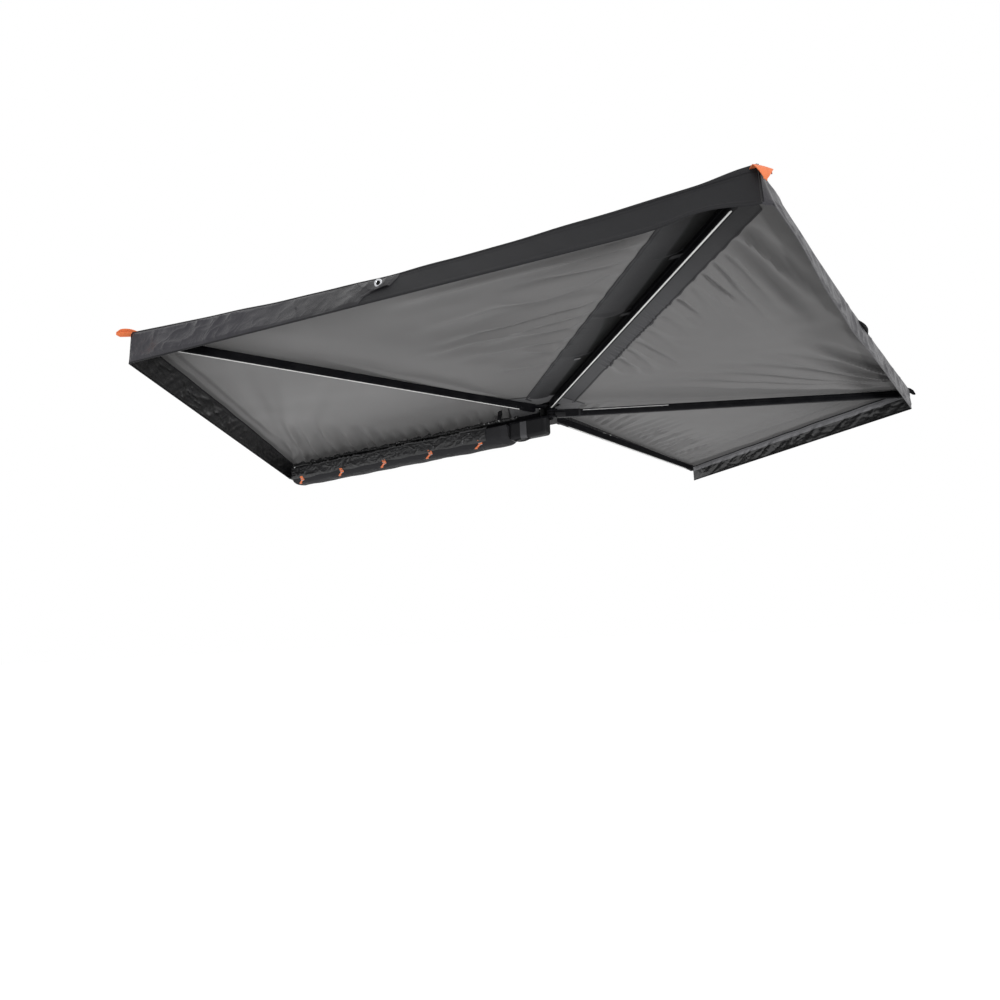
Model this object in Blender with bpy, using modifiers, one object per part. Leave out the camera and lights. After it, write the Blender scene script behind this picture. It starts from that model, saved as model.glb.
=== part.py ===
# Free-standing fan awning for the side of a vehicle: a base rail with brackets,
# a hub with four swinging arms, a fabric canopy in four panels, a hanging
# valance under each outer edge, and an open travel cover under the rail.
# Metres, +Z up, +X towards the vehicle, +Y forward along the base rail.
# The world origin is the middle rack bracket's seat, where the awning is held.

import math

import bmesh
import bpy
from mathutils import Matrix, Vector

# Gap between two pieces that touch, and the running gap of a turning piece.
TOUCH = 0.0003
RUNNING = 0.0003

# Arms. Angles are measured at the king pin, from forward towards the outer side.
ARM_ANGLES = (62.0, 135.0, 208.5, 262.0)
ARM_REACH = 2.48
ARM_GAP = 0.006
ROOT_DROPS = (0.0, 0.0, 0.036, 0.036)
TUBE_WIDTH = 0.026
TUBE_HEIGHT = 0.048
TUBE_WALL = 0.002
TUBE_TOP = -0.0050
CAP_LENGTH = 0.030
CAP_TO_CORNER = 0.050
CAP_RISE = 0.0036
CAP_EDGE = 0.0025
STRIP_WIDTH = 0.018
STRIP_THICKNESS = 0.003
STRIP_MARGIN = 0.10

# Knuckles, stacked on one king pin.
BOSS_RADIUS = 0.030
BOSS_THICKNESS = 0.014
# The neck's outline, as shares of the boss's radius, and its margin above and below.
NECK_NEAR = 0.90
NECK_FAR = 0.98
NECK_SHOULDER = (0.50, 0.80)
NECK_MARGIN = 0.001
COLLAR_START = 0.100
COLLAR_LENGTH = 0.090
COLLAR_MARGIN = 0.002
FOLDED_CLEARANCE = 0.001
SPIGOT_LENGTH = 0.060
WASHER_SPACE = 0.004
WASHER_RADIUS = 0.020
PIN_RADIUS = 0.008
PIN_HEAD_RADIUS = 0.016
PIN_HEAD_HEIGHT = 0.003
PIN_HEAD_FLAT = 0.8
NUT_RADIUS = 0.014
NUT_HEIGHT = 0.009
PIN_PAST_NUT = 0.004

# Hub bracket: a lower plate, a web beside the folded arms and an upper plate.
UPPER_PLATE_TOP = -0.002
UPPER_PLATE_THICKNESS = 0.006
LOWER_PLATE_THICKNESS = 0.012
WEB_WIDTH = 0.030
WEB_LENGTH = 0.035
WEB_START = 0.070
HUB_NOSE_RADIUS = 0.042

# Base rail, a hollow section beside the folded arms.
RAIL_CLEARANCE = 0.009
RAIL_WIDTH = 0.050
RAIL_HEIGHT = 0.078
RAIL_WALL = 0.003
RAIL_START = 0.115
RAIL_END = 2.550
GROOVE_WIDTH = 0.006
GROOVE_DEPTH = 0.008
BEAD_RADIUS = 0.0025
END_PLATE = 0.005
END_PLUG = 0.020
END_PLATE_EDGE = 0.0012

# Rack brackets and their bolts.
BRACKET_WIDTH = 0.060
BRACKET_PLATE = 0.006
BRACKET_LEG = 0.060
BRACKET_FOOT = 0.088
BRACKET_INSET = 0.42
SLOT_WIDTH = 0.0085
SLOT_LENGTH = 0.034
SLOT_FROM_TOE = 0.026
MOUNT_FROM_HEEL = 0.034
BOLT_RADIUS = 0.004
BOLT_HEAD_RADIUS = 0.0075
BOLT_HEAD_HEIGHT = 0.0055
BOLT_LENGTH = 0.016
BOLT_SPACING = 0.032
BOLT_DROP = 0.034

# Hub housing under the lower plate, with a band up its outer side and a tie strap.
HOUSING_X = -0.045
HOUSING_Y = 0.018
HOUSING_WIDTH = 0.075
HOUSING_LENGTH = 0.295
HOUSING_HEIGHT = 0.112
HOUSING_WALL = 0.003
HOUSING_ROUND = 0.022
BAND_THICKNESS = 0.003
BAND_WIDTH = 0.050
BAND_START = 0.172
TIE_WIDTH = 0.025
TIE_THICKNESS = 0.002
TIE_LENGTH = 0.110

# Fabric, as thin closed sheets.
SHEET = 0.001
SEAM_GAP = 0.0006
HUB_RING = 0.075
BASE_LINE_INSET = 0.012
BASE_LINE_RISE = 0.0013
FRONT_OVERHANG = 0.020
EDGE_PULLS = (0.015, 0.075, 0.015, 0.015)
SKIRT_DROPS = (0.160, 0.160, 0.137, 0.137, 0.137)
SKIRT_GAP = 0.0004
SKIRT_FOLD = 0.007
SKIRT_FOLDS = 9
FREE_EDGE = 0.012
HUB_COVER_RADIUS = 0.095
HUB_COVER_THICKNESS = 0.002
FLAP_SHEET = 0.0014
FLAP_DROP = 0.0006
FLAP_WIDTHS = (0.22, 0.14)
FLAP_SHARES = (0.20, 0.965)
TAB_THICKNESS = 0.003
TAB_INSIDE = 0.045
TAB_OUTSIDE = 0.072
TAB_WIDTHS = (0.030, 0.085, 0.028, 0.028)
# The tab's outline, as shares of its half width: inner end, shoulder and point.
TAB_ROOT = 0.6
TAB_SHOULDER = 0.7
TAB_POINT = 0.5
# Columns and rows of the sheets.
PANEL_GRID = (12, 8)
SKIRT_GRID = (54, 3)
FLAP_GRID = (3, 10)

# Travel cover, an open trough under the rail, and its compression straps.
COVER_OUTER = -0.075
COVER_DEPTH = 0.148
COVER_LIP = 0.016
COVER_SHEET = 0.003
COVER_SAG = 0.010
COVER_SQUARENESS = 0.45
COVER_COLUMNS = 14
ROWS_BEFORE_STRAPS = 2
ROWS_PER_STRAP = 4
ROWS_AFTER_STRAPS = 1
STRAP_COUNT = 5
STRAP_FIRST = 0.540
STRAP_FROM_RAIL_END = 0.250
STRAP_WIDTH = 0.025
STRAP_SHEET = 0.002
STRAP_GAP = 0.0006
STRAP_COLUMNS = (0, 6)

# Places that follow from the sizes above, relative to the king pin and the canopy's plane.
ARM_PITCH = TUBE_WIDTH + 2 * COLLAR_MARGIN + ARM_GAP
RAIL_X = 1.5 * ARM_PITCH + TUBE_WIDTH / 2 + COLLAR_MARGIN + RAIL_CLEARANCE
COLLAR_LOWEST = TUBE_TOP - max(ROOT_DROPS) - TUBE_HEIGHT - COLLAR_MARGIN
BOSS_PITCH = BOSS_THICKNESS + WASHER_SPACE
FIRST_BOSS_TOP = UPPER_PLATE_TOP - UPPER_PLATE_THICKNESS - WASHER_SPACE
LAST_BOSS_BOTTOM = FIRST_BOSS_TOP - 3 * BOSS_PITCH - BOSS_THICKNESS
LOWER_PLATE_TOP = min(COLLAR_LOWEST - FOLDED_CLEARANCE, LAST_BOSS_BOTTOM - WASHER_SPACE)
LOWER_PLATE_BOTTOM = LOWER_PLATE_TOP - LOWER_PLATE_THICKNESS
RAIL_BOTTOM = LOWER_PLATE_TOP + TOUCH
RAIL_TOP = RAIL_BOTTOM + RAIL_HEIGHT
RAIL_SIDE = RAIL_X + RAIL_WIDTH
SEAT_Z = RAIL_BOTTOM - BRACKET_PLATE
BRACKET_X = RAIL_SIDE + TOUCH
BRACKET_YS = (
    RAIL_START + BRACKET_INSET,
    (RAIL_START + RAIL_END) / 2,
    RAIL_END - BRACKET_INSET,
)
SEAT_X = BRACKET_X + MOUNT_FROM_HEEL
SHIFT = Vector((-SEAT_X, -BRACKET_YS[1], -SEAT_Z))
COVER_TOP = RAIL_BOTTOM - 2 * TOUCH
STRAP_PITCH = (RAIL_END - STRAP_FROM_RAIL_END - STRAP_FIRST) / (STRAP_COUNT - 1)
COVER_ROW = STRAP_PITCH / ROWS_PER_STRAP
COVER_ROWS = ROWS_BEFORE_STRAPS + (STRAP_COUNT - 1) * ROWS_PER_STRAP + ROWS_AFTER_STRAPS
COVER_START = STRAP_FIRST - ROWS_BEFORE_STRAPS * COVER_ROW
TUBE_START = COLLAR_START + COLLAR_LENGTH + TOUCH
TUBE_END = ARM_REACH - CAP_TO_CORNER - CAP_LENGTH

parts = None
helpers = None


def clear_scene():
    for obj in list(bpy.data.objects):
        bpy.data.objects.remove(obj, do_unlink=True)


def collection(name):
    made = bpy.data.collections.new(name)
    bpy.context.scene.collection.children.link(made)
    return made


def paint(obj, colour, roughness, metallic=0.0):
    """Gives the object a Principled material of its own."""
    material = bpy.data.materials.new(obj.name + "_finish")
    material.use_nodes = True
    shader = material.node_tree.nodes["Principled BSDF"]
    shader.inputs["Base Color"].default_value = (*colour, 1.0)
    shader.inputs["Roughness"].default_value = roughness
    shader.inputs["Metallic"].default_value = metallic
    obj.data.materials.clear()
    obj.data.materials.append(material)
    return obj


def black_coat(obj):
    return paint(obj, (0.012, 0.012, 0.013), 0.42)


def moulded(obj):
    return paint(obj, (0.018, 0.018, 0.020), 0.55)


def zinc(obj):
    return paint(obj, (0.55, 0.56, 0.57), 0.35, 1.0)


def nylon(obj):
    return paint(obj, (0.03, 0.03, 0.032), 0.5)


def canopy_cloth(obj):
    return paint(obj, (0.16, 0.16, 0.165), 0.6)


def skirt_cloth(obj):
    return paint(obj, (0.03, 0.03, 0.034), 0.7)


def cover_cloth(obj):
    return paint(obj, (0.022, 0.022, 0.024), 0.75)


def orange_webbing(obj):
    return paint(obj, (0.80, 0.19, 0.06), 0.7)


def black_webbing(obj):
    return paint(obj, (0.015, 0.015, 0.016), 0.8)


def smooth(obj, angle=35.0):
    obj.data.shade_smooth()
    obj.data.set_sharp_from_angle(angle=math.radians(angle))
    return obj


def add_mesh(name, bm, into):
    mesh = bpy.data.meshes.new(name)
    bm.to_mesh(mesh)
    bm.free()
    obj = bpy.data.objects.new(name, mesh)
    into.objects.link(obj)
    return obj


def block(name, low, high, into=None):
    """A box between two corners, with its origin at the frame's zero."""
    bm = bmesh.new()
    bmesh.ops.create_cube(bm, size=1.0)
    low = Vector(low)
    high = Vector(high)
    size = high - low
    centre = (low + high) / 2
    bmesh.ops.transform(
        bm, matrix=Matrix.Translation(centre) @ Matrix.Diagonal((*size, 1.0)), verts=bm.verts
    )
    return add_mesh(name, bm, into or parts)


def cylinder(name, radius, start, end, segments=24, into=None):
    """A cylinder from start to end."""
    start = Vector(start)
    end = Vector(end)
    along = end - start
    bm = bmesh.new()
    bmesh.ops.create_cone(
        bm,
        cap_ends=True,
        cap_tris=False,
        segments=segments,
        radius1=radius,
        radius2=radius,
        depth=along.length,
    )
    turn = along.to_track_quat("Z", "Y").to_matrix().to_4x4()
    bmesh.ops.transform(
        bm, matrix=Matrix.Translation((start + end) / 2) @ turn, verts=bm.verts
    )
    return smooth(add_mesh(name, bm, into or parts))


def extrusion(name, outlines, low, high, into=None):
    """Closed outlines in X and Y, filled between them and extruded from Z low to high."""
    curve = bpy.data.curves.new(name, "CURVE")
    curve.dimensions = "2D"
    curve.fill_mode = "BOTH"
    curve.extrude = (high - low) / 2
    for outline in outlines:
        spline = curve.splines.new("POLY")
        spline.points.add(len(outline) - 1)
        for point, (x, y) in zip(spline.points, outline):
            point.co = (x, y, 0.0, 1.0)
        spline.use_cyclic_u = True
    drawn = bpy.data.objects.new(name + "_outline", curve)
    helpers.objects.link(drawn)
    drawn.location.z = (low + high) / 2
    bpy.context.view_layer.update()
    graph = bpy.context.evaluated_depsgraph_get()
    mesh = bpy.data.meshes.new_from_object(drawn.evaluated_get(graph))
    mesh.transform(drawn.matrix_world)
    bm = bmesh.new()
    bm.from_mesh(mesh)
    bmesh.ops.remove_doubles(bm, verts=bm.verts, dist=0.00001)
    bmesh.ops.recalc_face_normals(bm, faces=bm.faces)
    bpy.data.objects.remove(drawn)
    bpy.data.meshes.remove(mesh)
    return add_mesh(name, bm, into or parts)


def arc(centre, radius, first, last, steps):
    """Points on a circle, with angles in degrees."""
    points = []
    for i in range(steps + 1):
        a = math.radians(first + (last - first) * i / steps)
        points.append((centre[0] + radius * math.cos(a), centre[1] + radius * math.sin(a)))
    return points


def rectangle(x0, y0, x1, y1):
    return [(x0, y0), (x1, y0), (x1, y1), (x0, y1)]


def boolean(obj, other, operation):
    modifier = obj.modifiers.new(other.name, "BOOLEAN")
    modifier.operation = operation
    modifier.solver = "EXACT"
    modifier.object = other
    other.hide_render = True
    other.display_type = "WIRE"
    return obj


def cut(obj, other):
    return boolean(obj, other, "DIFFERENCE")


def join(obj, other):
    return boolean(obj, other, "UNION")


def bevel(obj, width, segments=2, angle=40.0):
    modifier = obj.modifiers.new("rounded_edges", "BEVEL")
    modifier.width = width
    modifier.segments = segments
    modifier.limit_method = "ANGLE"
    modifier.angle_limit = math.radians(angle)
    return obj


def lengthwise(obj):
    """Turns an extrusion made along Z so that it runs along +Y, with its outline in X and Z."""
    turn = Matrix(((1, 0, 0, 0), (0, 0, 1, 0), (0, 1, 0, 0), (0, 0, 0, 1)))
    obj.data.transform(turn)
    obj.data.flip_normals()
    return obj


def hung_from(obj, parent):
    obj.parent = parent
    return obj


def empty(name, location, turn=0.0):
    made = bpy.data.objects.new(name, None)
    made.location = location
    made.rotation_euler.z = turn
    parts.objects.link(made)
    return made


def arm_offset(i):
    """How far the tube's centre line lies from the king pin's axis, towards larger angles."""
    return (i - 1.5) * ARM_PITCH


def arm_point(i, along, aside=0.0, z=0.0):
    """A point of arm i in the awning's plan: along the tube, and aside of its centre line."""
    a = math.radians(ARM_ANGLES[i])
    u = Vector((-math.sin(a), math.cos(a), 0.0))
    n = Vector((-math.cos(a), -math.sin(a), 0.0))
    return u * along + n * (arm_offset(i) + aside) + Vector((0.0, 0.0, z))


def boss_top(i):
    return FIRST_BOSS_TOP - i * BOSS_PITCH


def tube_root_top(i):
    return TUBE_TOP - ROOT_DROPS[i]


def tube_slope(i):
    return math.atan2(ROOT_DROPS[i], TUBE_END + CAP_LENGTH - TUBE_START)


def base_rail(root):
    x0 = RAIL_X
    x1 = RAIL_SIDE
    groove = x0 + BASE_LINE_INSET
    half = GROOVE_WIDTH / 2
    floor = RAIL_TOP - GROOVE_DEPTH
    outer = [
        (x0, RAIL_BOTTOM),
        (x1, RAIL_BOTTOM),
        (x1, RAIL_TOP),
        (groove + half, RAIL_TOP),
        (groove + half, floor),
        (groove - half, floor),
        (groove - half, RAIL_TOP),
        (x0, RAIL_TOP),
    ]
    inner = rectangle(x0 + RAIL_WALL, RAIL_BOTTOM + RAIL_WALL, x1 - RAIL_WALL, floor - RAIL_WALL)
    rail = lengthwise(extrusion("base_rail", [outer, inner], RAIL_START, RAIL_END))
    for y in BRACKET_YS:
        for z in bolt_levels():
            hole = cylinder(
                "rail_hole",
                BOLT_RADIUS + RUNNING,
                (x1 - 2 * RAIL_WALL, y, z),
                (x1 + RAIL_WALL, y, z),
                16,
                helpers,
            )
            hung_from(cut(rail, hole).modifiers[-1].object, root)
    plate = block(
        "rail_end_cap",
        (x0, RAIL_END + TOUCH, RAIL_BOTTOM),
        (x1, RAIL_END + TOUCH + END_PLATE, RAIL_TOP),
    )
    plug = block(
        "end_plug",
        (inner[0][0] + TOUCH, RAIL_END - END_PLUG, inner[0][1] + TOUCH),
        (inner[1][0] - TOUCH, RAIL_END + END_PLATE / 2, inner[2][1] - TOUCH),
        helpers,
    )
    hung_from(plug, root)
    bevel(plate, END_PLATE_EDGE, 1)
    join(plate, plug)
    hung_from(black_coat(rail), root)
    hung_from(moulded(plate), root)
    level = floor + TOUCH + BEAD_RADIUS
    bead = cylinder(
        "canopy_edge_bead",
        BEAD_RADIUS,
        (groove, RAIL_START + END_PLUG, level),
        (groove, RAIL_END - END_PLUG, level),
        12,
    )
    hung_from(black_webbing(bead), root)


def bolt_levels():
    middle = RAIL_TOP - BOLT_DROP
    return (middle - BOLT_SPACING / 2, middle + BOLT_SPACING / 2)


def rack_brackets(root):
    names = ("rear", "middle", "front")
    leg_top = RAIL_BOTTOM + BRACKET_LEG
    heel = BRACKET_X
    toe = BRACKET_X + BRACKET_FOOT
    outline = [
        (heel, SEAT_Z),
        (toe, SEAT_Z),
        (toe, SEAT_Z + BRACKET_PLATE),
        (heel + BRACKET_PLATE, SEAT_Z + BRACKET_PLATE),
        (heel + BRACKET_PLATE, leg_top),
        (heel, leg_top),
    ]
    for name, y in zip(names, BRACKET_YS):
        bracket = lengthwise(
            extrusion(
                "rack_bracket_" + name, [outline], y - BRACKET_WIDTH / 2, y + BRACKET_WIDTH / 2
            )
        )
        slot_x = toe - SLOT_FROM_TOE
        half = SLOT_LENGTH / 2 - SLOT_WIDTH / 2
        slot_outline = arc((slot_x, y + half), SLOT_WIDTH / 2, 0, 180, 8)
        slot_outline += arc((slot_x, y - half), SLOT_WIDTH / 2, 180, 360, 8)
        slot = extrusion(
            "slot_" + name,
            [slot_outline],
            SEAT_Z - BRACKET_PLATE,
            SEAT_Z + 2 * BRACKET_PLATE,
            helpers,
        )
        hung_from(cut(bracket, slot), root)
        hung_from(slot, root)
        for number, z in enumerate(bolt_levels(), 1):
            hole = cylinder(
                "bracket_hole",
                BOLT_RADIUS + RUNNING,
                (heel - BRACKET_PLATE, y, z),
                (heel + 2 * BRACKET_PLATE, y, z),
                16,
                helpers,
            )
            hung_from(hole, root)
            cut(bracket, hole)
            face = heel + BRACKET_PLATE + TOUCH
            bolt = cylinder(
                f"bracket_bolt_{name}_{number}",
                BOLT_HEAD_RADIUS,
                (face, y, z),
                (face + BOLT_HEAD_HEIGHT, y, z),
                6,
            )
            shank = cylinder(
                "bolt_shank",
                BOLT_RADIUS,
                (face - BOLT_LENGTH, y, z),
                (face + BOLT_HEAD_HEIGHT / 2, y, z),
                16,
                helpers,
            )
            hung_from(shank, root)
            hung_from(zinc(join(bolt, shank)), root)
        black_coat(bracket)


def hub_bracket(root):
    plate_x1 = RAIL_SIDE
    plate_y1 = HOUSING_Y + HOUSING_LENGTH
    nose = arc((0.0, 0.0), HUB_NOSE_RADIUS, 190, 320, 14)
    lower = [(plate_x1, HOUSING_Y), (plate_x1, plate_y1), (HOUSING_X, plate_y1)]
    lower += nose
    bracket = extrusion("hub_bracket", [lower], LOWER_PLATE_BOTTOM, LOWER_PLATE_TOP)
    web_x = RAIL_X + TOUCH
    web = block(
        "hub_web",
        (web_x, WEB_START, LOWER_PLATE_TOP - LOWER_PLATE_THICKNESS / 2),
        (web_x + WEB_WIDTH, WEB_START + WEB_LENGTH, UPPER_PLATE_TOP - UPPER_PLATE_THICKNESS / 2),
        helpers,
    )
    upper_outline = arc((0.0, 0.0), BOSS_RADIUS, 130, 320, 18)
    upper_outline += [
        (web_x + WEB_WIDTH, WEB_START),
        (web_x + WEB_WIDTH, WEB_START + WEB_LENGTH),
        (web_x, WEB_START + WEB_LENGTH),
    ]
    upper = extrusion(
        "hub_upper_plate",
        [upper_outline],
        UPPER_PLATE_TOP - UPPER_PLATE_THICKNESS,
        UPPER_PLATE_TOP,
        helpers,
    )
    bore = cylinder(
        "hub_bore",
        PIN_RADIUS + RUNNING,
        (0, 0, LOWER_PLATE_BOTTOM - LOWER_PLATE_THICKNESS),
        (0, 0, UPPER_PLATE_TOP + UPPER_PLATE_THICKNESS),
        24,
        helpers,
    )
    for piece in (web, upper, bore):
        hung_from(piece, root)
    join(bracket, web)
    join(bracket, upper)
    cut(bracket, bore)
    hung_from(black_coat(bracket), root)


def turned(name, profile, segments=32):
    """A profile of (radius, z), top to bottom down its outer side, turned about Z."""
    bm = bmesh.new()
    points = [bm.verts.new((r, 0.0, z)) for r, z in profile]
    for a, b in zip(points, points[1:]):
        bm.edges.new((a, b))
    obj = add_mesh(name, bm, parts)
    modifier = obj.modifiers.new("turned", "SCREW")
    modifier.steps = segments
    modifier.render_steps = segments
    modifier.use_merge_vertices = True
    modifier.merge_threshold = 0.00001
    return obj


def king_pin_stack(root):
    top = UPPER_PLATE_TOP + TOUCH
    head_top = top + PIN_HEAD_HEIGHT
    bottom = LOWER_PLATE_BOTTOM - TOUCH - NUT_HEIGHT - PIN_PAST_NUT
    pin = turned(
        "king_pin",
        [
            (0.0, head_top),
            (PIN_HEAD_RADIUS * PIN_HEAD_FLAT, head_top),
            (PIN_HEAD_RADIUS, top + PIN_HEAD_HEIGHT / 3),
            (PIN_HEAD_RADIUS, top),
            (PIN_RADIUS, top),
            (PIN_RADIUS, bottom),
            (0.0, bottom),
        ],
    )
    hung_from(zinc(pin), root)
    nut = cylinder(
        "king_pin_nut",
        NUT_RADIUS,
        (0, 0, LOWER_PLATE_BOTTOM - TOUCH - NUT_HEIGHT),
        (0, 0, LOWER_PLATE_BOTTOM - TOUCH),
        6,
    )
    nut_bore = cylinder(
        "nut_bore",
        PIN_RADIUS + TOUCH,
        (0, 0, bottom),
        (0, 0, LOWER_PLATE_BOTTOM + NUT_HEIGHT),
        24,
        helpers,
    )
    hung_from(nut_bore, root)
    hung_from(zinc(cut(nut, nut_bore)), root)
    for i in range(5):
        above = boss_top(i) + WASHER_SPACE
        below = boss_top(i) if i < 4 else LOWER_PLATE_TOP
        name = f"thrust_washer_{i + 1}" if i < 4 else "spacer_bush"
        washer = extrusion(
            name,
            [arc((0, 0), WASHER_RADIUS, 0, 350, 35), arc((0, 0), PIN_RADIUS + RUNNING, 0, 345, 23)],
            below + TOUCH,
            above - TOUCH,
        )
        hung_from(smooth(nylon(washer)), root)


def hub_housing(root):
    x0 = HOUSING_X
    y0 = HOUSING_Y
    x1 = x0 + HOUSING_WIDTH
    y1 = y0 + HOUSING_LENGTH
    top = LOWER_PLATE_BOTTOM - TOUCH
    bottom = top - HOUSING_HEIGHT
    housing = block("hub_housing", (x0, y0, bottom), (x1, y1, top + HOUSING_ROUND))
    bevel(housing, HOUSING_ROUND, 4)
    flat_top = block(
        "housing_top_trim",
        (x0 - HOUSING_WALL, y0 - HOUSING_WALL, top),
        (x1 + HOUSING_WALL, y1 + HOUSING_WALL, top + 2 * HOUSING_ROUND),
        helpers,
    )
    hollow = block(
        "housing_hollow",
        (x0 + HOUSING_WALL, y0 + HOUSING_WALL, bottom + HOUSING_WALL),
        (x1 - HOUSING_WALL, y1 - HOUSING_WALL, top + HOUSING_ROUND + HOUSING_WALL),
        helpers,
    )
    bevel(hollow, HOUSING_ROUND - HOUSING_WALL, 4)
    hung_from(flat_top, root)
    hung_from(hollow, root)
    cut(housing, flat_top)
    cut(housing, hollow)
    hung_from(smooth(moulded(housing)), root)
    band = block(
        "hub_side_band",
        (x0 - TOUCH - BAND_THICKNESS, BAND_START, bottom + HOUSING_ROUND),
        (x0 - TOUCH, BAND_START + BAND_WIDTH, top - HOUSING_WALL),
    )
    hung_from(paint(band, (0.07, 0.07, 0.075), 0.45), root)
    tie_x = x0 + HOUSING_ROUND
    tie = block(
        "housing_tie_strap",
        (tie_x, BAND_START, bottom - TOUCH - TIE_THICKNESS),
        (tie_x + TIE_WIDTH, BAND_START + TIE_LENGTH, bottom - TOUCH),
    )
    hung_from(black_webbing(tie), root)


def knuckle(i, axis):
    """The arm's root: a boss on the king pin, a tapered neck, a collar and a spigot in the tube."""
    offset = arm_offset(i)
    root_top = tube_root_top(i)
    top = boss_top(i)
    half = TUBE_WIDTH / 2 + COLLAR_MARGIN
    low = root_top - TUBE_HEIGHT
    piece = block(
        f"arm_{i + 1}_knuckle",
        (COLLAR_START, offset - half, low - COLLAR_MARGIN),
        (COLLAR_START + COLLAR_LENGTH, offset + half, root_top),
    )
    boss = cylinder(
        "boss", BOSS_RADIUS, (0, 0, top - BOSS_THICKNESS), (0, 0, top), 32, helpers
    )
    side = math.copysign(1.0, offset)
    near = offset - side * half
    far = offset + side * half
    reach = COLLAR_START + COLLAR_MARGIN
    outline = [
        (0.0, -side * BOSS_RADIUS * NECK_NEAR),
        (BOSS_RADIUS * NECK_SHOULDER[0], -side * BOSS_RADIUS * NECK_SHOULDER[1]),
        (reach, near),
        (reach, far),
        (0.0, side * BOSS_RADIUS * NECK_FAR),
    ]
    neck_low = top - BOSS_THICKNESS + NECK_MARGIN
    neck = extrusion("neck", [outline], neck_low, top - NECK_MARGIN, helpers)
    inner = TUBE_WIDTH / 2 - TUBE_WALL - TOUCH
    spigot = block(
        "spigot",
        (COLLAR_START + COLLAR_LENGTH / 2, offset - inner, low + TUBE_WALL + TOUCH),
        (TUBE_START + SPIGOT_LENGTH, offset + inner, root_top - TUBE_WALL - TOUCH),
        helpers,
    )
    slope = tube_slope(i)
    pivot = Vector((TUBE_START, 0.0, root_top))
    tilt = Matrix.Rotation(-slope, 4, "Y")
    spigot.data.transform(Matrix.Translation(pivot) @ tilt @ Matrix.Translation(-pivot))
    bore = cylinder(
        "knuckle_bore",
        PIN_RADIUS + RUNNING,
        (0, 0, top - 2 * BOSS_THICKNESS),
        (0, 0, top + BOSS_THICKNESS),
        24,
        helpers,
    )
    for helper in (boss, neck, spigot, bore):
        hung_from(helper, axis)
    join(piece, neck)
    join(piece, boss)
    join(piece, spigot)
    cut(piece, bore)
    hung_from(black_coat(piece), axis)


def arm_tube(i, axis):
    """The hollow tube with its end cap and the pale strip let under it."""
    offset = arm_offset(i)
    root_top = tube_root_top(i)
    slope = tube_slope(i)
    half = TUBE_WIDTH / 2
    outer = rectangle(-half, -TUBE_HEIGHT, half, 0.0)
    inner = rectangle(
        -half + TUBE_WALL, -TUBE_HEIGHT + TUBE_WALL, half - TUBE_WALL, -TUBE_WALL
    )
    turn = Matrix(((0, 0, 1, 0), (1, 0, 0, 0), (0, 1, 0, 0), (0, 0, 0, 1)))
    place = Vector((TUBE_START, offset, root_top))
    length = TUBE_END - TUBE_START
    tube = extrusion(f"arm_{i + 1}_tube", [outer, inner], 0.0, length)
    tube.data.transform(turn)
    cap = block(
        f"arm_{i + 1}_end_cap",
        (length + TOUCH, -half - COLLAR_MARGIN, -TUBE_HEIGHT - COLLAR_MARGIN),
        (length + CAP_LENGTH, half + COLLAR_MARGIN, CAP_RISE),
    )
    plug = block(
        "cap_plug",
        (length - CAP_LENGTH, -half + TUBE_WALL + TOUCH, -TUBE_HEIGHT + TUBE_WALL + TOUCH),
        (length + CAP_LENGTH / 2, half - TUBE_WALL - TOUCH, -TUBE_WALL - TOUCH),
        helpers,
    )
    bevel(cap, CAP_EDGE, 2)
    join(cap, plug)
    strip = block(
        f"arm_{i + 1}_pale_strip",
        (STRIP_MARGIN, -STRIP_WIDTH / 2, -TUBE_HEIGHT - TOUCH - STRIP_THICKNESS),
        (length - STRIP_MARGIN, STRIP_WIDTH / 2, -TUBE_HEIGHT - TOUCH),
    )
    black_coat(tube)
    moulded(cap)
    paint(strip, (0.72, 0.72, 0.70), 0.35)
    for piece in (tube, cap, plug, strip):
        piece.location = place
        piece.rotation_euler.y = -slope
        hung_from(piece, axis)


def corner_tab(i, axis):
    """The webbing tab sewn on top of the canopy's corner, where a guy line would start."""
    offset = arm_offset(i)
    half = TAB_WIDTHS[i] / 2
    low = SHEET / 2 + TOUCH
    tip = ARM_REACH + TAB_OUTSIDE
    outline = [
        (ARM_REACH - TAB_INSIDE, offset - half * TAB_ROOT),
        (ARM_REACH, offset - half),
        (tip - half * TAB_POINT, offset - half * TAB_SHOULDER),
        (tip, offset),
        (tip - half * TAB_POINT, offset + half * TAB_SHOULDER),
        (ARM_REACH, offset + half),
        (ARM_REACH - TAB_INSIDE, offset + half * TAB_ROOT),
    ]
    tab = extrusion(f"corner_tab_{i + 1}", [outline], low, low + TAB_THICKNESS)
    if i < 2:
        orange_webbing(tab)
    else:
        black_webbing(tab)
    hung_from(tab, axis)


def panel_border(i, side, share):
    """A point of the border between panels, share of the way out. Border 0 lies on the rail."""
    if i < 0:
        start = Vector((RAIL_X + BASE_LINE_INSET, RAIL_START, RAIL_TOP + BASE_LINE_RISE))
        end = Vector((start.x, RAIL_END + FRONT_OVERHANG, start.z))
        return start.lerp(end, share)
    reach = HUB_RING + (ARM_REACH - HUB_RING) * share
    return arm_point(i, reach, side * SEAM_GAP / 2)


def canopy_point(i, across, out):
    """A point of canopy panel i: across from the earlier border to the later one, and out."""
    near = panel_border(i - 1, 1.0, out)
    far = panel_border(i, -1.0, out)
    if i == 3:
        far = arm_point(i, HUB_RING + (ARM_REACH - HUB_RING) * out, FREE_EDGE)
    point = near.lerp(far, across)
    bow = 4.0 * across * (1.0 - across)
    inward = Vector((-point.x, -point.y, 0.0)).normalized()
    return point + inward * EDGE_PULLS[i] * bow * out**3


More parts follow.
